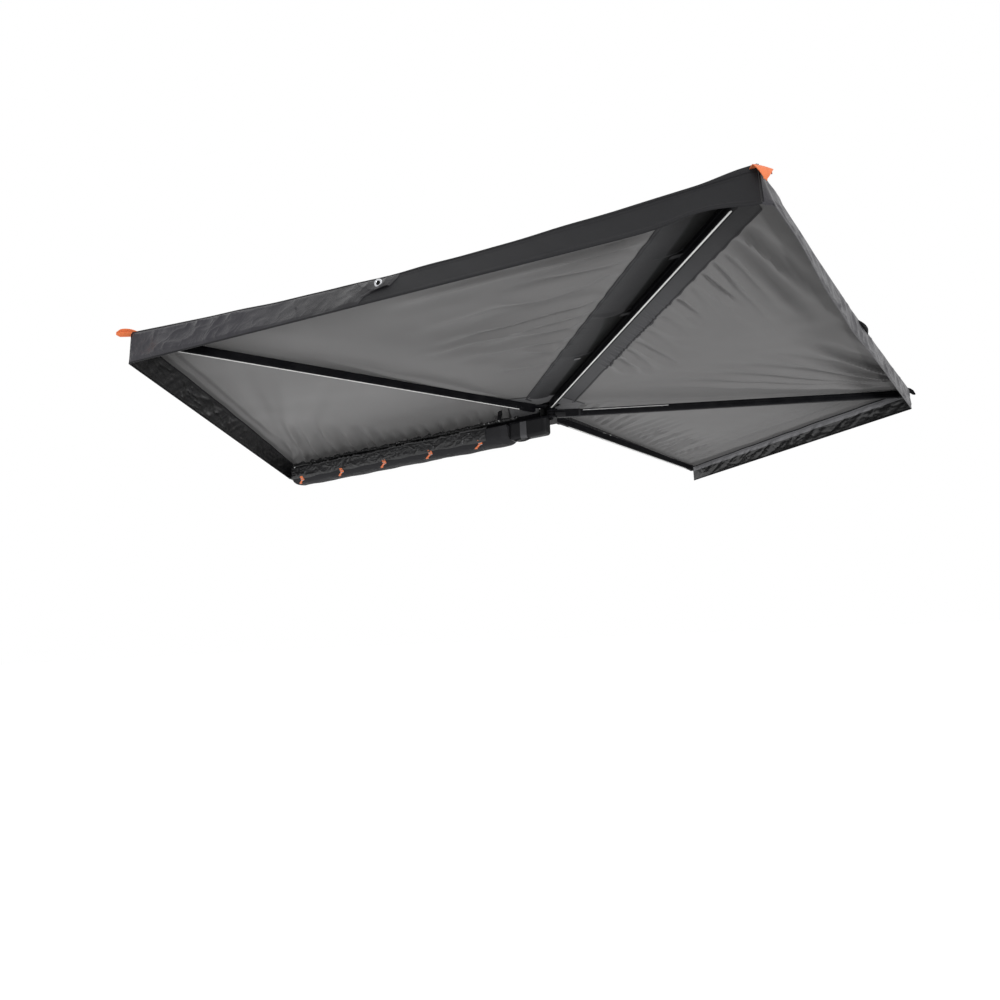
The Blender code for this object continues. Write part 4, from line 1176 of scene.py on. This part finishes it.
def arms():
    outline = tube_outline()
    for i in range(4):
        body = BODIES[i + 1]
        stations = np.linspace(0.0, TUBE_LENGTH, 24)
        sections = arm_place(i, stations[:, None], outline[None, :, 0], outline[None, :, 1])
        tube = lofted(f"arm_{i + 1}_extrusion", sections, METAL)
        tell(tube, body, f"arm_{i + 1}_tube")
        aside, level, start, end, material = STRIPS[i]
        angle = full_turn(14)
        wide, tall = (0.0042, 0.0016) if material is PALE else (0.0014, 0.0032)
        stations = np.linspace(start, end, 24)
        around = aside + wide * blunt(np.cos(angle), 0.5)
        below = level + tall * blunt(np.sin(angle), 0.5)
        sections = arm_place(i, stations[:, None], around[None], below[None])
        strip = lofted(f"arm_{i + 1}_strip", sections, material)
        tell(strip, body, f"arm_{i + 1}_pale_strip")
        for number, along in enumerate(RIVET_PLACES):
            for side in (-1.0, 1.0):
                centre = arm_place(i, along, side * (TUBE_WIDTH / 2), RIVET_LEVEL)
                out = arm_place(i, along, side * (TUBE_WIDTH / 2 + 1.0), RIVET_LEVEL) - centre
                run = arm_place(i, along + 1.0, 0.0, RIVET_LEVEL) - arm_place(i, along, 0.0, RIVET_LEVEL)
                rivet(f"arm_{i + 1}_rivet_{number + 1}{'a' if side < 0 else 'b'}", centre, out, run, body)


def rivet(name, centre, out, run, body):
    """A low domed rivet head."""
    out = out / np.linalg.norm(out)
    run = run / np.linalg.norm(run)
    other = np.cross(out, run)
    turn = full_turn(18)[None, :, None]
    profile = np.array(
        [(0.0042, -0.0002), (0.0042, 0.0006), (0.0032, 0.0015), (0.0016, 0.0020), (0.0004, 0.0021)]
    )
    radius, height = profile[:, 0][:, None, None], profile[:, 1][:, None, None]
    sections = centre + out * height + radius * (run * np.cos(turn) + other * np.sin(turn))
    head = lofted(name, sections, MOULDING)
    tell(head, body)


def arm_boots():
    """Black boots over two of the knuckles, from beside the pin on to the tube."""
    outline = tube_outline()
    centre = np.array([0.0, -TUBE_HEIGHT / 2])
    for i, start in ((1, 0.075), (2, 0.012)):
        stations = np.linspace(start, TUBE_START + 0.012, 24)
        bulge = 1.10 + 0.05 * np.sin(np.linspace(0.0, math.pi, 24))
        around = centre + (outline - centre) * bulge[:, None, None]
        sections = arm_place(i, stations[:, None] - TUBE_START, around[..., 0], around[..., 1])
        boot = lofted(f"arm_{i + 1}_boot", sections, MOULDING)
        tell(boot, BODIES[i + 1])


# The travel cover

def cover_curve():
    """The trough's section by equal steps of length, from its free lip to the lip under the rail."""
    half = np.geomspace(1e-5, 0.5, 400)
    share = np.concatenate([[0.0], half, 1.0 - half[::-1], [1.0]])
    angle = math.pi * (1.0 - share)
    x = COVER_OUTER + (COVER_INNER - COVER_OUTER) * (0.5 + 0.5 * np.cos(angle))
    drop = np.abs(np.sin(angle)) ** 0.36
    z = COVER_TOP - COVER_LIP * (1.0 - share) - (COVER_DEPTH - COVER_LIP - 0.010) * drop
    length = np.concatenate([[0.0], np.cumsum(np.hypot(np.diff(x), np.diff(z)))])
    return length, x, z


COVER_CURVE = cover_curve()


def cover_point(length, y, off=0.0):
    """A point of the cover's outer face, some length down from its free lip."""
    along, x, z = COVER_CURVE
    sag = 0.001 * np.abs(np.sin(math.pi * (y - STRAP_FIRST) / STRAP_PITCH)) ** 1.5 * ramp(length, 0.02, 0.12)
    here = points(np.interp(length, along, x), y, np.interp(length, along, z) - sag)
    dx = np.interp(length + 0.001, along, x) - np.interp(length - 0.001, along, x)
    dz = np.interp(length + 0.001, along, z) - np.interp(length - 0.001, along, z)
    size = np.maximum(np.hypot(dx, dz), 1e-9)
    return here + points(dz / size, np.zeros_like(y * 1.0), -dx / size) * np.asarray(off, float)[..., None]


# The crinkled band on the cover's outer face: its depth, what goes over the lip, and its start.
BAND_DEPTH = 0.084
BAND_FOLD = 0.012
BAND_START = 0.485

# The gusset's corners: at the rail's end and at the cover's lip, then lower on both sides.
GUSSET_CORNERS = (
    (0.084, 2.562, -0.016), (-0.062, 2.402, -0.113), (-0.012, 2.514, -0.156), (-0.050, 2.400, -0.205)
)


def travel_cover():
    total = COVER_CURVE[0][-1]
    length, y = net((0.0, total, 90), (COVER_START, COVER_END, 420))
    wobble = 0.0030 * billow(points(y, length, 0.0), 0.25, 62, 2)
    wobble = wobble - 0.024 * (1.0 - ramp(y, COVER_START - 0.01, COVER_START + 0.07)) ** 2
    held = ramp(length, 0.0, 0.02) * ramp(total - length, 0.05, 0.10)
    skin = cover_point(length, y, wobble * held)
    cover = cloth_sheet(
        "travel_cover_cloth", skin, 0.0020, COVER_FACE, back=SKIRT_LINING, up=(-0.3, 0.0, -1.0)
    )
    tell(cover, "root", "travel_cover")
    length, y = net((-BAND_FOLD, BAND_DEPTH, 44), (BAND_START, COVER_END, 620))
    creases = crumple(y * 0.7, length, 0.045, 81, 3)
    sagging = 0.006 * np.sin(y * 19.0) * np.sin(y * 7.3 + 1.0)
    length = length + sagging * ramp(length, 0.02, BAND_DEPTH)
    held = ramp(length, -BAND_FOLD, 0.01) * ramp(BAND_DEPTH + BAND_FOLD - length, 0.0, 0.03)
    off = 0.0030 + 0.0125 * creases * held
    band = cover_point(np.maximum(length, 0.0), y, off)
    band[..., 2] += np.maximum(-length, 0.0)
    flap = cloth_sheet("cover_crinkled_band", band, 0.0012, COVER, up=(-1.0, 0.0, 0.0))
    tell(flap, "root")
    for number, y_end, towards, size, area in (
        (1, COVER_START, 1.0, (0.19, 0.10), 0.014), (2, COVER_END, -1.0, (0.19, 0.12), 0.022)
    ):
        length, rise = net((0.0, total, 60), (0.0, 1.0, 14))
        tucked = 0.0262 * ramp(length, 0.0, 0.02) * (number == 1)
        wall = cover_point(length, np.full_like(length, y_end), -tucked)
        wall[..., 2] += (COVER_TOP - 0.012 - wall[..., 2]).clip(0.0) * rise
        wall[..., 1] += towards * (0.002 + 0.006 * arch(rise) * arch(length / total))
        end = cloth_sheet(
            f"cover_end_{number}", wall, 0.0016, COVER_FACE, back=SKIRT_LINING, up=(0.0, -towards, 0.0)
        )
        tell(end, "root")
    share, down = net((0.0, 1.0, 40), (0.0, 1.0, 24))
    top_rail, top_cover, low_rail, low_cover = np.array(GUSSET_CORNERS)
    near = top_rail + (low_rail - top_rail) * down[..., None]
    far = top_cover + (low_cover - top_cover) * down[..., None]
    web = near + (far - near) * share[..., None]
    creases = crumple(share * 0.2, down * 0.15, 0.05, 88)
    web[..., 0] -= 0.012 * arch(share) * arch(down) + 0.006 * creases
    gusset = cloth_sheet("cover_gusset", web, 0.0014, SKIRT_LINING, up=(-1.0, 0.0, -0.3))
    tell(gusset, "root")
    beside_lip = np.linspace(BAND_START - 0.01, COVER_END - 0.004, 520)
    beside_rail = np.linspace(0.30, BASE_END - 0.03, 620)
    for name, y, x, z, radius, seed in (
        ("lip_piping", beside_lip, -0.079, -0.104, 0.0052, 3),
        ("base_piping", beside_rail, 0.064, -0.026, 0.0115, 4),
    ):
        shake = crumple(y, np.full_like(y, 0.1 * seed), 0.05, seed, 3)
        path = points(x - 0.008 * shake, y, z + 0.014 * (shake - 0.4) - 0.004 * np.sin(y * 9.0))
        piping = cord(name, path, radius * (0.65 + 0.8 * shake), COVER, 12, 1.3)
        tell(piping, "root")
        if name == "base_piping":
            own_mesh(piping)


def cover_straps():
    """Each strap has a metal slide on the cover's outer face, and its tail lies under the cover."""
    for number in range(5):
        middle = STRAP_FIRST + number * STRAP_PITCH
        length, across = net((BAND_DEPTH + 0.006, BAND_DEPTH + 0.058, 48), (-0.5, 0.5, 11))
        drift = 0.062 * ramp(length, BAND_DEPTH + 0.004, BAND_DEPTH + 0.055)
        width = STRAP_WIDTH * (1.10 - 0.15 * ramp(length, BAND_DEPTH + 0.012, BAND_DEPTH + 0.022))
        path = cover_point(length, middle + width * across + drift, 0.0030)
        strap = cloth_sheet(f"cover_webbing_{number + 1}", path, 0.0016, ORANGE, up=(-1.0, 0.0, -0.5))
        tell(strap, "root", f"cover_strap_{number + 1}")
        head, across = net((BAND_DEPTH - 0.014, BAND_DEPTH + 0.018, 12), (-0.5, 0.5, 9))
        off = 0.0062 + 0.003 * np.sin(head * 120.0)
        doubled = cover_point(head, middle + (STRAP_WIDTH + 0.006) * across, off)
        fold = cloth_sheet(f"strap_head_{number + 1}", doubled, 0.0024, ORANGE, up=(-1.0, 0.0, 0.0))
        tell(fold, "root")
        for bar, depth in enumerate((BAND_DEPTH + 0.004, BAND_DEPTH + 0.016)):
            centre = cover_point(np.array(depth), np.array(middle), np.array(0.0098))
            size = (STRAP_WIDTH + 0.006, 0.0034, 0.0034)
            name = f"strap_slide_{number + 1}{'ab'[bar]}"
            slide = plate(name, centre, (0.0, 1.0, 0.0), (-1.0, 0.0, 0.0), size, ZINC, 0.0012)
            tell(slide, "root")


def hub_details():
    """Cloth and straps about the hub: the strap under the housing, the hanging tab, the gathers."""
    across, along = net((-0.5, 0.5, 9), (0.0, 1.0, 41))
    sag = 0.012 * arch(along) ** 0.7
    grid = points(-0.018 + 0.025 * across, 0.165 + 0.115 * along, -0.2172 - sag)
    strap = cloth_sheet("housing_strap", grid, 0.0022, BLACK_WEBBING, up=(0.0, 0.0, -1.0))
    tell(strap, "root", "housing_tie_strap")
    node = frame["nodes"]["hub_side_band"]
    box = np.array([node.matrix_world @ vertex.co for vertex in node.data.vertices]) - PIN
    low, high = box.min(axis=0), box.max(axis=0)
    turn = np.radians(np.linspace(88.0, 0.0, 14))
    bend = HOUSING_ROUND + 0.0018
    front = low[0] + 0.0015
    profile = [(front + bend * (1.0 - math.cos(a)), low[2] - bend * math.sin(a)) for a in turn]
    profile += [(front, z) for z in np.linspace(low[2] + 0.004, high[2] + 0.006, 16)]
    profile = np.array(profile)
    y, x = np.meshgrid(np.linspace(low[1], high[1], 9), profile[:, 0])
    face = points(x, y, profile[:, 1][:, None])
    band = cloth_sheet("side_band_strip", face, 0.0030, GREY_MOULDING, up=(-1.0, 0.0, 0.0))
    tell(band, "root", "hub_side_band")
    across, down = net((-0.5, 0.5, 9), (0.0, 1.0, 31))
    grid = points(-0.100 + 0.006 * np.sin(down * 5.0), 0.350 + 0.034 * across, -0.0080 - 0.066 * down)
    tab = cloth_sheet("hanging_tab", grid, 0.0040, BLACK_WEBBING, up=(-1.0, 0.0, 0.0))
    tell(tab, "root")
    turn, down = net((268.0, 352.0, 60), (0.0, 1.0, 14))
    angle = np.radians(turn)
    radius = 0.090 + 0.003 * np.sin(turn * 0.9) * down
    grid = points(-radius * np.sin(angle), radius * np.cos(angle), 0.0010 - 0.072 * down)
    curtain = cloth_sheet("hub_curtain", grid, 0.0014, SLEEVE, up=(1.0, 1.0, 0.0))
    tell(curtain, "root")
    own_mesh(curtain)
    y = np.linspace(0.05, RAIL_END - 0.012, 240)
    bead = cord("edge_bead_cord", points(np.full_like(y, 0.0900), y, -0.0151), 0.0023, BLACK_WEBBING, 10)
    tell(bead, "root", "canopy_edge_bead")


# Corner tabs

def corner_tabs():
    """Guy tabs: a drooping loop on each corner, and a wide petal on the second."""
    for i, reach, gap, droop, thickness, material, slot in (
        (0, 0.062, 0.040, 0.018, 0.0024, ORANGE, "orange_webbing"),
        (2, 0.040, 0.016, 0.036, 0.0048, BLACK_WEBBING, "black_webbing"),
        (3, 0.040, 0.016, 0.030, 0.0048, BLACK_WEBBING, "black_webbing"),
    ):
        turn = np.linspace(0.0, 1.0, 60)
        over = arch(turn) ** 0.8
        out = ARM_REACH - 0.030 + (reach + 0.030) * over
        apart = (0.5 - turn) * gap * arch(turn) ** 0.5
        level = 0.0030 - droop * over**2.2 + apart
        rows = np.linspace(-1.0, 1.0, 9)
        twist = math.radians(-52.0 if i == 2 else 52.0) * over**0.5
        half = 0.0125 * (1.0 - 0.55 * ramp(over, 0.80, 1.0)) * rows[:, None]
        grid = arm_plan(i, out[None], half * np.cos(twist), level[None] + half * np.sin(twist))
        tab = cloth_sheet(f"guy_loop_{i + 1}", grid, thickness, material)
        tell(tab, BODIES[i + 1], f"corner_tab_{i + 1}")
        if i == 2:
            root = in_frame(arm_plan(i, ARM_REACH - 0.030))
            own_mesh(tab)
    down = np.concatenate([np.linspace(-0.7, 0.0, 12), np.linspace(0.03, 1.0, 40)])
    down, across = np.meshgrid(down, np.linspace(-1.0, 1.0, 41))
    hang = down.clip(0.0)
    rooted = ramp(down, -0.7, 0.0)
    half = 0.018 + (0.0415 - 0.018) * rooted
    half = half * np.maximum(1.0 - hang**1.15, 0.10) ** 0.80
    centre = 0.0120 * rooted - 0.012 * hang
    out = ARM_REACH + 0.012 - 0.052 * (down / -0.7).clip(0.0) + 0.020 * np.sin(hang * math.pi / 2)
    level = 0.0042 - 0.0030 * rooted * across**2 - 0.0050 * rooted - 0.0030 * rooted * across
    level = level - 0.066 * hang**1.25
    grid = arm_plan(1, out, centre + half * across, level)
    tab = cloth_sheet("guy_tab_wide", grid, 0.0026, ORANGE, up=(-0.7, -0.7, 0.2))
    tell(tab, node="corner_tab_2")
    # The tucked fold is in the shaded orange: painted shade.
    down, across = net((0.0, 1.0, 10), (-1.0, 1.0, 9))
    level = -0.006 - 0.013 * down - 0.003 * across
    tuck = arm_plan(1, ARM_REACH + 0.003 + 0.004 * down, 0.047 + 0.006 * across * (1.0 - 0.5 * down), level)
    fold = cloth_sheet("guy_tab_fold", tuck, 0.0026, SHADED_ORANGE, up=(-0.7, -0.7, 0.2))
    for piece in (tab, fold):
        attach(piece, "arm_2")
        in_frame(arm_plan(1, ARM_REACH))
        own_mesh(piece)


CAD_FINISHES = (
    ("base_rail", METAL), ("hub_bracket", METAL), ("rack_bracket", METAL), ("knuckle", METAL),
    ("bolt", ZINC), ("king_pin", METAL), ("washer", NYLON), ("bush", NYLON), ("housing", MOULDING),
    ("end_cap", MOULDING),
)


def finish_cad_nodes():
    for name, obj in frame["nodes"].items():
        for word, material in CAD_FINISHES:
            if word in name:
                obj.data.materials.clear()
                obj.data.materials.append(material)
                break


# Stage, light and camera

def area_light(name, place, aim, size, power):
    data = bpy.data.lights.new(name, "AREA")
    data.shape = "RECTANGLE"
    data.size, data.size_y = size
    data.energy = power
    lamp = bpy.data.objects.new(name, data)
    lamp.location = place
    lamp.rotation_euler = (Vector(aim) - Vector(place)).to_track_quat("-Z", "Y").to_euler()
    lamp.visible_camera = False
    bpy.context.scene.collection.objects.link(lamp)


FLOOR_Z = -1.95


def stage():
    mesh = bpy.data.meshes.new("floor")
    size = 60.0
    mesh.from_pydata(
        [(-size, -size, FLOOR_Z), (size, -size, FLOOR_Z), (size, size, FLOOR_Z), (-size, size, FLOOR_Z)],
        [], [(0, 1, 2, 3)],
    )
    floor = bpy.data.objects.new("floor", mesh)
    bpy.context.scene.collection.objects.link(floor)
    pale, tree, shader = finish("pale_floor", (0.80, 0.80, 0.80), 0.9, specular=0.1)
    white = add_node(tree, "ShaderNodeEmission", [("Color", (1.0, 1.0, 1.0, 1.0)), ("Strength", 1.25)])
    share = combine(tree, "MULTIPLY", seen_directly(tree), 0.72)
    lift = add_node(tree, "ShaderNodeMixShader", [(0, share), (1, shader.outputs[0]), (2, white.outputs[0])])
    tree.links.new(lift.outputs[0], tree.nodes["Material Output"].inputs["Surface"])
    mesh.materials.append(pale)
    floor.visible_shadow = False


def world():
    made = bpy.data.worlds.new("studio")
    bpy.context.scene.world = made
    made.use_nodes = True
    tree = made.node_tree
    back = tree.nodes["Background"]
    back.inputs["Color"].default_value = (1.0, 1.0, 1.0, 1.0)
    strength = remap(tree, seen_directly(tree), 0.0, 1.0, 0.80, 1.0)
    tree.links.new(strength, back.inputs["Strength"])


def far_light(name, heading, climb, strength, softness):
    """Even light from one side. The heading is where it comes from; below the level, it rises."""
    data = bpy.data.lights.new(name, "SUN")
    data.energy = strength
    data.angle = math.radians(softness)
    lamp = bpy.data.objects.new(name, data)
    turn, tilt = math.radians(heading), math.radians(climb)
    source = Vector((math.sin(turn) * math.cos(tilt), math.cos(turn) * math.cos(tilt), math.sin(tilt)))
    lamp.rotation_euler = (-source).to_track_quat("-Z", "Y").to_euler()
    bpy.context.scene.collection.objects.link(lamp)


def lights():
    """The canopy's lower side is lit from under the floor, which casts no shadow upwards."""
    far_light("low_key", 228.0, -20.0, 1.85, 10.0)
    far_light("low_sheen", 48.0, -17.0, 0.42, 16.0)
    far_light("low_fill", 235.0, -50.0, 0.4, 60.0)
    area_light("top_soft", (-3.0, -4.0, 5.0), (-0.6, -0.6, 0.0), (5.0, 5.0), 80.0)


# The camera stands outboard of and behind the awning, below the canopy's level. Its place, turn
# and lens were fitted to the photograph. The lens is centred off the picture's middle.
CAMERA_PLACE = (-4.0071, -2.0264, -1.5543)
CAMERA_YAW = 61.854
CAMERA_PITCH = 11.16
CAMERA_ROLL = -2.526
CAMERA_LENS = 24.65
CAMERA_SHIFT = -0.0397


def camera():
    data = bpy.data.cameras.new("camera")
    data.lens = CAMERA_LENS
    data.sensor_width = 36.0
    data.shift_x = CAMERA_SHIFT
    data.clip_end = 200.0
    obj = bpy.data.objects.new("camera", data)
    yaw, pitch, roll = (math.radians(v) for v in (CAMERA_YAW, CAMERA_PITCH, CAMERA_ROLL))
    ahead = Vector((math.sin(yaw) * math.cos(pitch), math.cos(yaw) * math.cos(pitch), math.sin(pitch)))
    right = Vector((math.cos(yaw), -math.sin(yaw), 0.0))
    up = right.cross(ahead)
    tilted_right = right * math.cos(roll) + up * math.sin(roll)
    tilted_up = up * math.cos(roll) - right * math.sin(roll)
    turn = Matrix((tilted_right, tilted_up, -ahead)).transposed()
    obj.matrix_world = Matrix.Translation(Vector(CAMERA_PLACE) + Vector(PIN)) @ turn.to_4x4()
    bpy.context.scene.collection.objects.link(obj)
    bpy.context.scene.camera = obj


bpy.context.scene.view_settings.view_transform = "Standard"
camera()
world()
stage()
lights()
finish_cad_nodes()
canopy_panels()
valances()
valance_overlays()
bindings()
flaps()
hub_patches()
side_curtain()
arms()
arm_boots()
travel_cover()
cover_straps()
hub_details()
corner_tabs()
